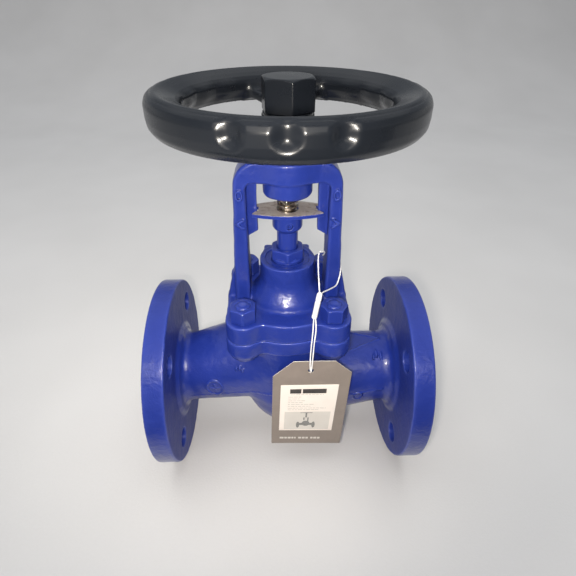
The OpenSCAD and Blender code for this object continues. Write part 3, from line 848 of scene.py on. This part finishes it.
# ---------------------------------------------------------------- handwheel
# rim section: distance from the axis, height, corner radius
RIM = rounded([
    (76.0, 219.4, 3), (81.5, 219.2, 4), (86.4, 220.6, 5), (89.2, 224.6, 5), (89.8, 229.5, 6),
    (89.8, 237.0, 5), (88.4, 240.3, 3.0), (86.5, 241.8, 1.2), (85.6, 241.9, 0.6),
    (84.6, 242.8, 1.0), (82.6, 243.3, 4), (80.0, 242.7, 8), (74.5, 240.6, 8),
    (70.2, 238.6, 2.5), (68.4, 236.6, 3), (67.5, 234.0, 3), (68.0, 229.5, 5),
    (69.8, 224.4, 4), (72.4, 221.0, 3)], 6)
# hollow in the rim's underside: distance from the axis, height
CHANNEL = closed_curve([
    (84.4, 212), (84.6, 221), (84.0, 228.5), (80.6, 232.4), (75.8, 230.6), (73.4, 225.5),
    (73.0, 220), (73.0, 212), (78, 208)])
rim_section = outline_field(RIM, (60, 212), (96, 250), 0.2)
channel_section = outline_field(CHANNEL, (60, 202), (96, 250), 0.2)
# spokes over distance from the axis: top height, bottom height, half width
SPOKE_STATIONS = [0, 17, 28, 40, 56, 72, 90]
spoke_top = smooth_curve(SPOKE_STATIONS, [219.5, 219.5, 220.4, 222.6, 227.6, 231.6, 234], 2.5)
spoke_bottom = smooth_curve(SPOKE_STATIONS, [208.5, 208.5, 210.5, 214.2, 220.6, 225.4, 228], 2.5)
spoke_width = smooth_curve([0, 20, 36, 50, 60, 68, 80],
                           [9.5, 9.5, 10.5, 14.5, 24.0, 40.0, 66.0], 2.5)
SPOKE_ANGLES = (90, 210, 330)
GRIP_ANGLES = [g + k for g in (267.7, 27.7, 147.7) for k in (-18.3, 0, 18.6)]
GRIP_CENTRE_R = 93.0


def wheel_field(p):
    x, y, z = p.T
    r = hypot(x, y)
    azimuth = np.arctan2(y, x)
    hub = both(r - (19.4 - (z - 205) * 0.115), slab(z, 215.55, 10.42), 1.4)
    # three spokes, flared where they meet the rim
    thickness = between(z, spoke_bottom(r), spoke_top(r))
    spokes = np.full_like(x, 99)
    for angle in SPOKE_ANGLES:
        c, s = math.cos(math.radians(angle)), math.sin(math.radians(angle))
        along, across = x * c + y * s, -x * s + y * c
        spoke = both(np.abs(across) - spoke_width(along), thickness, 2.2) * 0.72
        spokes = np.minimum(spokes, np.maximum(spoke, np.maximum(10 - along, r - 76)))
    d = smooth_min(rim_section(r, z), smooth_min(spokes, hub, 5.0), 5.0)
    # finger grips and the swelling of the inner wall behind them
    grips, swell = np.full_like(x, 99), np.zeros_like(x)
    for angle in GRIP_ANGLES:
        a = math.radians(angle)
        grip_r = hypot(x - GRIP_CENTRE_R * math.cos(a), y - GRIP_CENTRE_R * math.sin(a))
        grip = np.sqrt(grip_r * grip_r + np.minimum(z - 234.2, 0) ** 2 * 1.3) - 7.0
        grips = np.minimum(grips, grip)
        degrees = np.abs((azimuth - a + math.pi) % (2 * math.pi) - math.pi) * 57.3
        swell = np.maximum(swell, np.exp(-0.5 * (degrees / 5.2) ** 2).astype(F32))
    inner_wall = np.clip((76 - r) / 8, 0, 1) * np.clip((z - 222) / 6, 0, 1)
    d = d - 1.5 * swell * inner_wall * np.clip((239 - z) / 4, 0.0, 1)
    d = carve(d, grips, 3.6)
    d = carve(d, channel_section(r, z), 1.0)
    keyway = np.maximum(np.abs(x) - 2.0, np.abs(y + 11.2) - 2.0)
    return carve(d, np.minimum(r - 11.06, keyway), 0.4)


cast("handwheel_rim_and_spokes", wheel_field, (-93, -93, 203), (93, 93, 247), 0.95,
     BLACK, "wheel", "handwheel")

# ---------------------------------------------------------------- bonnet nuts and studs
NUT_FLATS = 18.9
NUT_BASE, NUT_TOP = BONNET_TOP + 0.4, BONNET_TOP + 12.0
STUD = rounded([(0.001, 49, 0), (STUD_R, 49, 0.4), (STUD_R, 96.2, 0.5), (5.0, 97.2, 0.8),
                (3.0, 97.62, 1.0), (0.001, 97.7, 0)])


def bonnet_nut_field(cx, cy, turn):
    def field(p):
        x, y, z = p[:, 0] - cx, p[:, 1] - cy, p[:, 2]
        r = hypot(x, y)
        d = both(hexagon(x, y, NUT_FLATS, turn, 0.9), between(z, NUT_BASE, NUT_TOP), 0.45)
        d = smooth_max(d, chamfer(r, NUT_FLATS / 2 - 0.2, z - NUT_TOP), 0.5)
        d = smooth_min(d, both(r - 8.8, slab(z, BONNET_TOP + 0.5, 0.45), 0.4), 0.5)
        return carve(d, r - STUD_R, 0.5)
    return field


# name, side along x, side along y, turn of the hexagon
for corner, side_x, side_y, turn in (("front_left", -1, -1, 30), ("front_right", 1, -1, 0),
                                     ("back_right", 1, 1, 30), ("back_left", -1, 1, 0)):
    cx, cy = STUD_XY * side_x, STUD_XY * side_y
    cast("bonnet_nut_" + corner, bonnet_nut_field(cx, cy, turn),
         (cx - 12, cy - 12, BONNET_TOP - 1), (cx + 12, cy + 12, BONNET_TOP + 14), 0.42,
         BLUE_FINE, "valve", "bonnet_nuts")
    lathe("bonnet_stud_" + corner, STUD, BLUE_FINE, "valve", "bonnet_studs",
          origin=(cx, cy, 0), sides=40, sharp=40)


# ---------------------------------------------------------------- gland nut, cap nut, guide
def gland_field(p):
    x, y, z = p.T
    r = hypot(x, y)
    d = both(hexagon(x, y, 24.0, 30, 1.0), slab(z, 124.2, 4.0), 0.6)
    d = smooth_max(d, chamfer(r, 12.2, z - 128.2), 0.7)
    d = smooth_max(d, chamfer(r, 13.6, 120.2 - z), 0.6)
    d = smooth_min(d, both(r - 12.5, slab(z, 118, 3.5), 0.2), 0.3)
    d = smooth_min(d, both(r - 13.0, slab(z, 119.4, 1.2), 0.4), 0.5)
    d = d + wobble(x, y, z) * 0.06
    return carve(d, r - 8.1, 1.2)


cast("gland_nut_hex", gland_field, (-17, -17, 112), (17, 17, 131), 0.45,
     BLUE_FINE, "valve", "gland_nut")


def cap_field(p):
    x, y, z = p.T
    r = hypot(x, y)
    d = both(hexagon(x, y, 32.2, -82.6, 0.9), slab(z, 238.35, 10.3), 0.6)
    d = smooth_max(d, chamfer(r, 16.0, z - 248.7), 0.6)
    d = smooth_max(d, chamfer(r, 18.5, 228.05 - z), 0.4)
    return carve(d, both(r - 10.05, z - 241, 0.1), 0.4)


cast("wheel_cap_nut", cap_field, (-21, -21, 226), (21, 21, 250.5), 0.5,
     BLACK, "wheel", "cap_nut")


def collar_field(p):
    """Collar with a tapered lower end and a hole for the cross pin."""
    x, y, z = p.T
    r = hypot(x, y)
    d = both(r - 11.3, slab(z, 148.65, 7.93), 0.8)
    d = smooth_max(d, ((r - 8.1) * 3.6 - (z - 142.0) * 3.2) / 4.82, 0.7)
    d = d + wobble(x, y, z) * 0.05
    d = carve(d, hypot(x - 1.25 * np.sign(-y), z - COLLAR_PIN_Z) - 2.5, 0.6)
    return carve(d, r - (SPINDLE_R + 0.02), 0.2)


cast("guide_collar_blue", collar_field, (-13, -13, 139), (13, 13, 158), 0.42,
     BLUE_FINE, "spindle", "guide_collar")

COLLAR_PIN = rounded([(1.2, -9.6, 0.1), (2.38, -9.6, 0.4), (2.38, 10.2, 0.4), (1.2, 10.2, 0.1)])
lathe("collar_cross_pin", COLLAR_PIN, BLUE_DARK, "spindle", "roll_pin",
      origin=(0, 0, COLLAR_PIN_Z), axis=(0.1111, -0.9938, 0), sides=28)

# guide plate in plan (x, y): bowed front and back edges, a notch at each end
PLATE_OUTLINE = (
    [(x, -14.3 + 4.8 * (x / 25.8) ** 2) for x in np.linspace(-25.8, 25.8, 25)]
    + [(25.8, -7.5), (23.6, -4.2), (21.5, -3.72), (21.5, 3.72), (23.4, 4.2)]
    + [(x, 14.3 - 5.6 * (x / 23.4) ** 2) for x in np.linspace(23.4, -23.4, 25)]
    + [(-23.4, 4.2), (-21.5, 3.72), (-21.5, -3.72), (-23.6, -4.2), (-25.8, -7.5)])
plate_plan = outline_field(PLATE_OUTLINE, (-30, -20), (30, 20), 0.1)


def plate_field(p):
    x, y, z = p.T
    d = both(plate_plan(x, y), slab(z, 158.0, 1.38), 0.35)
    d = d + wobble(x * 2, y * 2, z) * 0.03
    return carve(d, hypot(x, y) - (SPINDLE_R + 0.05), 0.3)


# bare metal on top, paint elsewhere
cast("indicator_guide_plate", plate_field, (-27.5, -16, 155.5), (27.5, 16, 160.5), 0.36,
     [PLATE, BLUE_FINE], "spindle", "indicator_plate",
     pick=lambda normals: np.where(normals[:, 2] > 0.55, 0, 1))

# ---------------------------------------------------------------- spindle
THREAD_START, THREAD_END = 156.6, 231.81
TIP_CONE_Z = 230.4
# plain part below the thread: height, radius
SPINDLE_PLAIN = [(30.6, 0.001), (30.6, 10.4), (31.2, 11.0), (34.0, 11.0), (34.0, SPINDLE_R),
                 (60, SPINDLE_R), (100, SPINDLE_R), (140, SPINDLE_R), (155.6, SPINDLE_R),
                 (156.4, 7.97)]
# thread flank: quarter pitches from the crest's middle, radius
FLANK = ([0, 0.62, 0.74, 1.26, 1.38, 2.0], [7.95, 7.95, 7.85, 5.95, 5.85, 5.85])


def spindle(sides=72):
    """Spindle with a left-hand trapezoidal thread on its upper part."""
    t = np.arange(sides) * 2 * math.pi / sides
    crest = FLANK[1][0]
    rows = [(z, np.full(sides, float(r))) for z, r in SPINDLE_PLAIN]
    for z in np.arange(THREAD_START, THREAD_END, 0.2):
        phase = ((z + THREAD_PITCH * t / (2 * math.pi)) / THREAD_PITCH) % 1.0
        r = np.interp(np.abs(phase - 0.5) * 4.0, *FLANK)
        r = crest + (r - crest) * np.clip((z - THREAD_START) / 0.8, 0, 1)
        if z > TIP_CONE_Z:
            r = np.minimum(r, 7.6 - (z - TIP_CONE_Z))
        rows.append((z, r))
    rows.append((231.9, np.full(sides, 0.001)))
    points = np.concatenate([np.stack([r * np.cos(t), r * np.sin(t), np.full(sides, z)], -1)
                             for z, r in rows])
    quads = tube_quads(len(rows), sides)
    ob = make_mesh("spindle_with_thread", points, quads, [THREAD, BLUE_FINE])
    centres = np.empty(len(quads) * 3, F32)
    ob.data.polygons.foreach_get("center", centres)
    painted = centres.reshape(-1, 3)[:, 2] * 1000 - AXIS_Z < 156.5
    ob.data.polygons.foreach_set("material_index", painted.astype(np.int32))
    ob.data.set_sharp_from_angle(angle=math.radians(35))
    place(ob, "spindle", "stem")


spindle()

# ---------------------------------------------------------------- turned rings
RETAINER = rounded([
    (12.75, 193.05, 0.3), (16.98, 193.05, 0.3), (16.98, 198.6, 0.1), (16.98, 200.05, 0.1),
    (20.0, 200.05, 0.5), (20.0, 203.5, 0.9), (12.75, 203.5, 0.6)])
lathe("bearing_retainer_ring", RETAINER, BLUE_FINE, "valve", "bearing_retainer")
WASHER = rounded([(10.1, 226.05, 0.2), (16.7, 226.05, 0.35), (16.7, 227.95, 0.35),
                  (10.1, 227.95, 0.2)])
lathe("wheel_washer_turned", WASHER, BLACK, "wheel", "wheel_washer")

# bare serrated rings laid on the raised faces of the end flanges
SERRATION_PITCH = 0.82
SERRATIONS = [(25.6, 114.3)]
for k in range(30):
    r = 25.9 + k * SERRATION_PITCH
    SERRATIONS += [(r, 114.93), (r + SERRATION_PITCH / 2, 114.72)]
SERRATIONS += [(50.6, 114.9), (50.6, 114.3)]
for side, end in ((1, "inlet"), (-1, "outlet")):
    lathe("gasket_face_" + end, SERRATIONS, FACING, "valve",
          axis=(side, 0, 0), sides=96, sharp=20)

# ---------------------------------------------------------------- hang tag
# corners as x, z
CARD_CORNERS = [(-15.6, -46.8), (46.6, -49.4), (50.2, 40.6), (36.3, 53.3), (3.6, 53.4),
                (-13.0, 37.7)]
LABEL_CORNERS = [(-8.6, -28.7), (37.9, -30.5), (40.9, 27.5), (-6.6, 27.8)]
CARD_HOLE = (17.3, 43.4, 2.3)       # x, z, radius
CARD_Y, CARD_THICK = -50.65, 0.7
CARD_FRONT = CARD_Y - CARD_THICK
PRINT_Y = CARD_FRONT - 0.115        # on the label


def warp(x, z):
    """The card is very slightly bowed."""
    return (0.16 * math.cos((x - 17) / 21.0) - 0.10 * math.cos((z - 3) / 34.0)
            + 0.02 * math.sin(x / 9 + z / 13))


def bend(bm, y):
    """Move flat work at y = 0 onto the bowed card, and from millimetres to metres."""
    for v in bm.verts:
        x, z = v.co.x, v.co.z
        v.co = Vector((x, v.co.y + y + warp(x, z), z + AXIS_Z)) * 0.001


def tag_object(name, bm, materials, stands_for=None):
    me = bpy.data.meshes.new(name)
    bm.to_mesh(me)
    bm.free()
    for m in materials:
        me.materials.append(m)
    place(add_object(name, me), "tag", stands_for)
    return me


def punch(bm, hole, step):
    """Cut the faces along a 20-sided ring, then drop what is inside it."""
    hx, hz, radius = hole
    sides = 20
    for k in range(sides):
        a = 2 * math.pi * (k + 0.5) / sides
        near = [f for f in bm.faces
                if (f.calc_center_median() - Vector((hx, 0, hz))).length < radius + step * 2.2]
        geom = set(near)
        for f in near:
            geom.update(f.verts)
            geom.update(f.edges)
        c, s = math.cos(a), math.sin(a)
        bmesh.ops.bisect_plane(bm, geom=list(geom), dist=1e-5, plane_no=(c, 0, s),
                               plane_co=(hx + radius * c, 0, hz + radius * s))
    gone = []
    for f in bm.faces:
        middle = f.calc_center_median()
        if math.hypot(middle.x - hx, middle.z - hz) < radius * 0.995:
            gone.append(f)
    bmesh.ops.delete(bm, geom=gone, context="FACES")


def sheet(name, outline, y, thick, materials, stands_for, step, bevel, hole=None):
    """A thin bowed sheet in the x-z plane; a second material goes on its edges."""
    bm = bmesh.new()
    xs, zs = zip(*outline)
    grid = [[bm.verts.new((x, 0, z)) for z in np.arange(min(zs) - step, max(zs) + step, step)]
            for x in np.arange(min(xs) - step, max(xs) + step, step)]
    for left, right in zip(grid, grid[1:]):
        for j in range(len(left) - 1):
            bm.faces.new((left[j], right[j], right[j + 1], left[j + 1]))
    for i, a in enumerate(outline):
        b = outline[(i + 1) % len(outline)]
        e = Vector((b[0] - a[0], 0, b[1] - a[1])).normalized()
        bmesh.ops.bisect_plane(bm, geom=bm.verts[:] + bm.edges[:] + bm.faces[:],
                               plane_co=(a[0], 0, a[1]), plane_no=Vector((e.z, 0, -e.x)),
                               clear_outer=True, dist=1e-5)
    if hole:
        punch(bm, hole, step)
    bmesh.ops.remove_doubles(bm, verts=bm.verts, dist=0.01)
    bmesh.ops.recalc_face_normals(bm, faces=bm.faces)
    bm.faces.ensure_lookup_table()
    if bm.faces[0].normal.y > 0:
        bmesh.ops.reverse_faces(bm, faces=bm.faces)
    extruded = bmesh.ops.extrude_face_region(bm, geom=bm.faces[:])["geom"]
    for v in [g for g in extruded if isinstance(g, bmesh.types.BMVert)]:
        v.co.y += -thick
    bmesh.ops.recalc_face_normals(bm, faces=bm.faces)
    rim = [e for e in bm.edges if len(e.link_faces) == 2 and e.calc_face_angle(0) > 1.2]
    bmesh.ops.bevel(bm, geom=rim, offset=bevel, segments=2, affect="EDGES", profile=0.5)
    bend(bm, y)
    bmesh.ops.recalc_face_normals(bm, faces=bm.faces)
    for f in bm.faces:
        f.smooth = True
        f.material_index = 0 if abs(f.normal.y) > 0.8 or len(materials) < 2 else 1
    me = tag_object(name, bm, materials, stands_for)
    me.set_sharp_from_angle(angle=math.radians(30))


sheet("tag_card_board", rounded([(*p, 1.2) for p in CARD_CORNERS], 3), CARD_Y, CARD_THICK,
      [MATTE["tag_card_taupe"], MATTE["tag_card_edge"]], "tag_card",
      step=2.6, bevel=0.09, hole=CARD_HOLE)
sheet("tag_label_sheet", LABEL_CORNERS, CARD_FRONT - 0.01, 0.10, [MATTE["tag_label_cream"]],
      "tag_label", step=4.0, bevel=0.02)


# ---------------------------------------------------------------- print on the tag
# places are u across and v up the label, both 0 to 1
def label_point(u, v):
    a, b, c, d = [np.array(q) for q in LABEL_CORNERS]
    p = (a * (1 - u) + b * u) * (1 - v) + (d * (1 - u) + c * u) * v
    return float(p[0]), float(p[1])


def printed(name, shapes, y, material):
    """Flat printed outlines, each a very thin closed slab on the sheet."""
    bm = bmesh.new()
    for pts in shapes:
        area = sum(a[0] * b[1] - b[0] * a[1] for a, b in zip(pts, pts[1:] + pts[:1]))
        if area < 0:
            pts = pts[::-1]
        under = [bm.verts.new((p[0], 0, p[1])) for p in pts]
        over = [bm.verts.new((p[0], -0.035, p[1])) for p in pts]
        bm.faces.new(under[::-1])
        bm.faces.new(over)
        for i in range(len(pts)):
            j = (i + 1) % len(pts)
            bm.faces.new((under[i], under[j], over[j], over[i]))
    bmesh.ops.recalc_face_normals(bm, faces=bm.faces)
    bend(bm, y)
    tag_object(name, bm, [material])


def block(u0, u1, v0, v1, n=4):
    low = [label_point(u0 + (u1 - u0) * i / n, v0) for i in range(n + 1)]
    high = [label_point(u0 + (u1 - u0) * i / n, v1) for i in range(n, -1, -1)]
    return low + high


def ellipse(u, v, radius_u, radius_v, n=20):
    angles = [2 * math.pi * k / n for k in range(n)]
    return [label_point(u + radius_u * math.cos(a), v + radius_v * math.sin(a)) for a in angles]


# text lines: v, right end
TEXT_LINES = ((0.795, 0.76), (0.745, 0.38), (0.705, 0.34), (0.665, 0.44), (0.625, 0.40),
              (0.585, 0.62), (0.545, 0.55), (0.505, 0.83), (0.468, 0.70))
# widths of the blocks below the label
FOOT_WIDTHS = (0.075, 0.05, 0.06, 0.04, 0.03, 0.06, 0.055, 0.05, 0.045, 0.06, 0.05)
WORD_GAP = 0.014


def text_blocks():
    """Word-like blocks of random width; the first line starts further in."""
    rng = np.random.default_rng(5)
    words = []
    for line, (v, end) in enumerate(TEXT_LINES):
        u = 0.14 if line else 0.18
        while u < end - 0.02:
            width = float(rng.uniform(0.035, 0.085))
            words.append(block(u, min(u + width, end), v, v + 0.011, 1))
            u += width + WORD_GAP
    return words


def foot_blocks():
    words = []
    u = 0.02
    for width in FOOT_WIDTHS:
        words.append(block(u, u + width, -0.205, -0.165, 1))
        u += width + (0.045 if len(words) in (5, 8) else WORD_GAP)
    return words


# panel behind the drawing
printed("tag_label_panel", [block(0.09, 0.93, 0.03, 0.43, 8)], PRINT_Y, MATTE["tag_panel_grey"])
printed("tag_heading_blocks", [block(0.165, 0.36, 0.825, 0.915), block(0.385, 0.80, 0.825, 0.915)],
        PRINT_Y, MATTE["tag_ink_dark"])
printed("tag_text_lines", text_blocks(), PRINT_Y, MATTE["tag_ink_pale"])
# small generic drawing of a valve; each shape lies just in front of the one before
DRAWING = [block(0.38, 0.60, 0.400, 0.412), block(0.475, 0.505, 0.30, 0.400),
           block(0.44, 0.465, 0.20, 0.30), block(0.515, 0.54, 0.20, 0.30),
           ellipse(0.49, 0.165, 0.075, 0.060), block(0.37, 0.61, 0.125, 0.175),
           ellipse(0.345, 0.135, 0.032, 0.070), ellipse(0.635, 0.135, 0.032, 0.070)]
for k, shape in enumerate(DRAWING):
    printed("tag_drawing_%d" % k, [shape], PRINT_Y - 0.036 - 0.002 * k, MATTE["tag_ink_grey"])
printed("tag_foot_blocks", foot_blocks(), CARD_FRONT - 0.012, MATTE["tag_print_light"])

# ---------------------------------------------------------------- string
STRING_R = 0.52
TWIST_LENGTH = 2.6
# centre lines as x, y, z; both lower strands pass through the card's hole
LOWER_STRANDS = [
    [(17.6, -50.0, 83.5), (16.8, -50.6, 69.4), (16.35, -51.6, 54.8), (16.5, -52.3, 47.0),
     (16.9, -52.1, 44.2), (17.2, -51.2, 43.0), (17.3, -49.9, 43.6), (17.4, -50.0, 46.0)],
    [(19.8, -50.0, 83.5), (18.85, -50.5, 69.4), (18.2, -51.5, 54.8), (17.7, -52.3, 47.0),
     (17.5, -52.5, 44.6), (17.4, -51.6, 42.5), (17.4, -50.2, 42.7)]]
LOOP_STRANDS = [
    [(21.6, -45.6, 113.6), (21.6, -36, 119.3), (22.0, -25, 124.5), (22.4, -19, 127.6),
     (23.5, -14.4, 129.8), (26.0, -12.0, 129.4), (28.3, -8.0, 126.4), (28.9, 0, 119.6),
     (29.2, 9, 114.0), (31.5, 13.6, 111.6), (36.5, 14.0, 110.6), (41.0, 12.6, 110.8),
     (42.2, 7, 111.6), (42.0, -5, 112.4), (41.0, -12.7, 111.6), (39.9, -15.0, 106.6),
     (37.1, -20.5, 104.0), (31.0, -31, 107.8), (25.2, -41, 112.4), (22.3, -45.6, 113.8)],
    [(18.2, -46.2, 94.0), (18.0, -47.4, 90.5), (17.7, -49.0, 86.5), (17.6, -50.0, 83.0)],
    [(19.0, -46.2, 94.0), (19.6, -47.4, 90.5), (19.8, -49.0, 86.5), (19.8, -50.0, 83.0)]]


def strand_points(curve, sides):
    """Rings of a three-ply twist carried along a curve, and their number."""
    path = open_curve(curve)
    tangent = np.gradient(path, axis=0)
    tangent /= np.linalg.norm(tangent, axis=1)[:, None]
    steep = abs(tangent[0][2]) >= 0.8
    a = np.cross(tangent[0], np.array([1.0, 0.1, 0] if steep else [0.3, 0.2, 0.93]))
    a /= np.linalg.norm(a)
    angle = 2 * math.pi * np.arange(sides) / sides
    travelled = 0.0
    rings = []
    for i in range(len(path)):
        if i:
            a = a - (a @ tangent[i]) * tangent[i]
            a /= np.linalg.norm(a)
            travelled += np.linalg.norm(path[i] - path[i - 1])
        b = np.cross(tangent[i], a)
        twist = travelled / TWIST_LENGTH * 2 * math.pi
        r = STRING_R * (0.86 + 0.17 * np.abs(np.cos(1.5 * (angle - twist))))
        if i in (0, len(path) - 1):
            r = r * 0.05
        rings.append(path[i] + r[:, None] * (np.cos(angle)[:, None] * a
                                             + np.sin(angle)[:, None] * b))
    return np.vstack(rings), len(path)


def string(name, curves, body, stands_for, sides=18):
    points, quads, base = [], [], 0
    for curve in curves:
        strand, rings = strand_points(curve, sides)
        points.append(strand)
        quads.append(base + tube_quads(rings, sides))
        base += len(strand)
    ob = make_mesh(name, np.vstack(points), np.concatenate(quads), MATTE["white_string"])
    place(ob, body, stands_for)


# the lower strands swing with the tag; they meet the fixed part at the hinge
string("tag_string_lower", LOWER_STRANDS, "tag", "tag_cord")
string("tag_string_loop", LOOP_STRANDS, "valve", "tag_loop")

LOCK = rounded([
    (1.25, 0, 0.1), (2.05, 0, 0.35), (2.1, 2.0, 0.3), (1.85, 2.6, 0.3), (2.0, 3.4, 0.3),
    (2.05, 14.0, 0.3), (1.85, 15.4, 0.3), (2.1, 16.2, 0.3), (2.0, 21.4, 0.5), (1.3, 22.4, 0.2)])
LOCK_BOTTOM, LOCK_TOP = np.array([18.4, -46.2, 92.8]), np.array([21.8, -46.0, 115.2])
lathe("string_lock_tube", LOCK, MATTE["white_plastic"], "valve", "cord_lock",
      origin=tuple(LOCK_BOTTOM), axis=tuple(LOCK_TOP - LOCK_BOTTOM), sides=32)

# ---------------------------------------------------------------- CAD pieces that stay
STAY = {
    STEEL: ("seat_ring", "bellows_top_ring", "bellows_end_cap", "packing_base_ring",
            "gland_follower", "disc", "disc_retainer", "thrust_washers", "wheel_key"),
    MATTE["graphite"]: ("bonnet_gasket", "packing_rings"),
    BRONZE: ("stem_nut",)}
for material, names in STAY.items():
    for name in names:
        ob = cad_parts[name]
        if not ob.material_slots:
            ob.data.materials.append(material)
        for material_slot in ob.material_slots:
            material_slot.material = material

# the real bellows shortens and lengthens; here its pleats are one rigid piece between the fixed
# top ring and the spindle's end cap
FOLDS = [(13.3 - 2.7 * math.cos(math.pi * i / 6), 42.02 + 51.96 * i / 216) for i in range(217)]
pleats = lathe("bellows_pleats", FOLDS + [(r - 0.7, z) for r, z in reversed(FOLDS)], STEEL,
               None, "bellows", sides=48)
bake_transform(pleats)


# ---------------------------------------------------------------- floor and sweep, metres
def floor_material():
    mat, n, surface = new_material("pale_floor")
    v = n.coords()
    col = n.ramp(n.noise(v, 5, detail=2.0), (0.3, (0.585, 0.575, 0.562)),
                 (0.7, (0.635, 0.625, 0.612)))
    col = n.mix(n.remap(n.noise(v, 420), 0.0, 0.5), col, (0.66, 0.65, 0.64))
    n.put(surface, {"Base Color": col, "Roughness": 0.72,
                    "Normal": n.bump(n.noise(v, 500), distance=0.0003, strength=0.5)})
    return mat


def floor(name, profile, material, x0, x1):
    """A profile of (y, z) drawn out along x."""
    xs = np.linspace(x0, x1, 61)
    points = np.array([[(x, y, z) for y, z in profile] for x in xs]).reshape(-1, 3)
    quads = grid_quads(len(xs), len(profile))
    ob = make_mesh(name, points * 1000 - LIFT, quads, material)
    if ob.data.polygons[len(quads) // 2].normal.z < 0:
        ob.data.flip_normals()
    return ob


FLOOR = floor_material()
FLOOR_REACH = 14.0
FLOOR_SEAM_X, FLOOR_SEAM_Y = -0.45, -0.17
SWEEP_Y, SWEEP_R = 1.1, 0.9
sweep = [(y, 0.0) for y in np.linspace(FLOOR_SEAM_Y, SWEEP_Y, 24)]
for k in range(1, 17):
    a = math.radians(90 * k / 16)
    sweep.append((SWEEP_Y + SWEEP_R * math.sin(a), SWEEP_R - SWEEP_R * math.cos(a)))
front_strip = [(y, 0.0) for y in np.linspace(-FLOOR_REACH, FLOOR_SEAM_Y, 41)]
floor("studio_floor", [q for q in sweep if q[1] < 0.45], FLOOR, -FLOOR_REACH, FLOOR_REACH)
floor("studio_floor_left", front_strip, FLOOR, -FLOOR_REACH, FLOOR_SEAM_X)
near_floor = floor("studio_floor_near", front_strip, FLOOR, FLOOR_SEAM_X, FLOOR_REACH)
near_floor.visible_glossy = False

# ---------------------------------------------------------------- world
scene = bpy.context.scene
scene.view_settings.view_transform = "Standard"
scene.view_settings.look = "None"
scene.view_settings.exposure = 0.0


def studio_world():
    """Light that changes with height and is dimmer from the front; the camera sees it plain."""
    world = bpy.data.worlds.new("studio_air")
    scene.world = world
    n = Nodes(world)
    direction = n.add("SeparateXYZ")
    n.put(direction.inputs, {0: n.add("TexCoord").outputs["Generated"]})
    height = direction.outputs["Z"]
    rise = n.ramp(height, (0.0, (0.05, 0.052, 0.06)), (0.02, (0.36, 0.365, 0.37)),
                  (0.12, (0.38, 0.39, 0.40)), (0.30, (0.18, 0.195, 0.215)),
                  (0.47, (0.22, 0.235, 0.26)), (0.61, (0.56, 0.58, 0.60)),
                  (1.0, (0.64, 0.66, 0.69)))
    toward_back = n.remap(direction.outputs["Y"], 0.0, 1.0, from_low=-0.9, from_high=0.3)
    shade = n.mix(toward_back, (0.42, 0.42, 0.44), (1.0, 1.0, 1.0))
    lit = n.mix(1.0, rise, shade, "MULTIPLY")
    seen = n.ramp(height, (0.0, (0.36, 0.365, 0.37)), (0.12, (0.38, 0.39, 0.40)),
                  (0.61, (0.56, 0.58, 0.60)))
    camera_ray = n.add("LightPath").outputs["Is Camera Ray"]
    n.put(world.node_tree.nodes["Background"].inputs,
          {"Color": n.mix(camera_ray, lit, seen), "Strength": 1.0})


studio_world()


# ---------------------------------------------------------------- lights
def add_light(light, location, target, power, color, glossy=True):
    light.energy = power
    light.color = color
    ob = add_object(light.name, light)
    ob.location = location
    ob.rotation_mode = "QUATERNION"
    ob.rotation_quaternion = (Vector(target) - Vector(location)).to_track_quat("-Z", "Y")
    ob.visible_glossy = glossy


def area_light(name, width, height=None, **settings):
    """Square unless a height is given."""
    light = bpy.data.lights.new(name, "AREA")
    light.shape = "RECTANGLE" if height else "SQUARE"
    light.size = width
    if height:
        light.size_y = height
    add_light(light, **settings)


area_light("ceiling_panel", width=1.9, location=(-0.15, 0.0, 2.2), target=(0, 0, 0.1),
           power=28, color=(0.985, 0.99, 1.0), glossy=False)
area_light("front_window", width=1.6, height=0.30, location=(-0.12, -1.05, 0.92),
           target=(0, 0, 0.10), power=3.2, color=(1.0, 0.955, 0.90))
area_light("left_soft", width=0.4, location=(-0.62, -0.78, 0.55), target=(-0.1, 0, 0.0),
           power=1.9, color=(1.0, 0.93, 0.85), glossy=False)
key = bpy.data.lights.new("small_key", "SPOT")
key.spot_size = math.radians(96)
key.spot_blend = 1.0
key.shadow_soft_size = 0.012
add_light(key, location=(-0.0245, -0.302, 0.3645), target=(-0.035, 0.0, 0.205),
          power=6.6, color=(1.0, 0.93, 0.83))


# ---------------------------------------------------------------- camera
def add_camera(lens, target, distance, azimuth, elevation, roll):
    """Camera looking at target (mm) from a distance (mm); angles are in degrees."""
    a, e, r = [math.radians(angle) for angle in (azimuth, elevation, roll)]
    back = Vector((math.sin(a) * math.cos(e), -math.cos(a) * math.cos(e), math.sin(e)))
    right = (-back).cross(Vector((0, 0, 1))).normalized()
    up = right.cross(-back)
    turn = Matrix((right * math.cos(r) + up * math.sin(r),
                   -right * math.sin(r) + up * math.cos(r), back)).transposed()
    camera = bpy.data.cameras.new("photo_camera")
    camera.sensor_width = 36.0
    camera.lens = lens
    camera.clip_start, camera.clip_end = 0.01, 50
    ob = add_object("photo_camera", camera)
    position = (Vector(target) + back * distance + Vector((0, 0, AXIS_Z))) * 0.001
    ob.matrix_world = Matrix.Translation(position) @ turn.to_4x4()
    scene.camera = ob


add_camera(lens=27.3998125, target=(0.659, 0, 88.096), distance=363.794,
           azimuth=-2.1315, elevation=34.3851, roll=0.306)
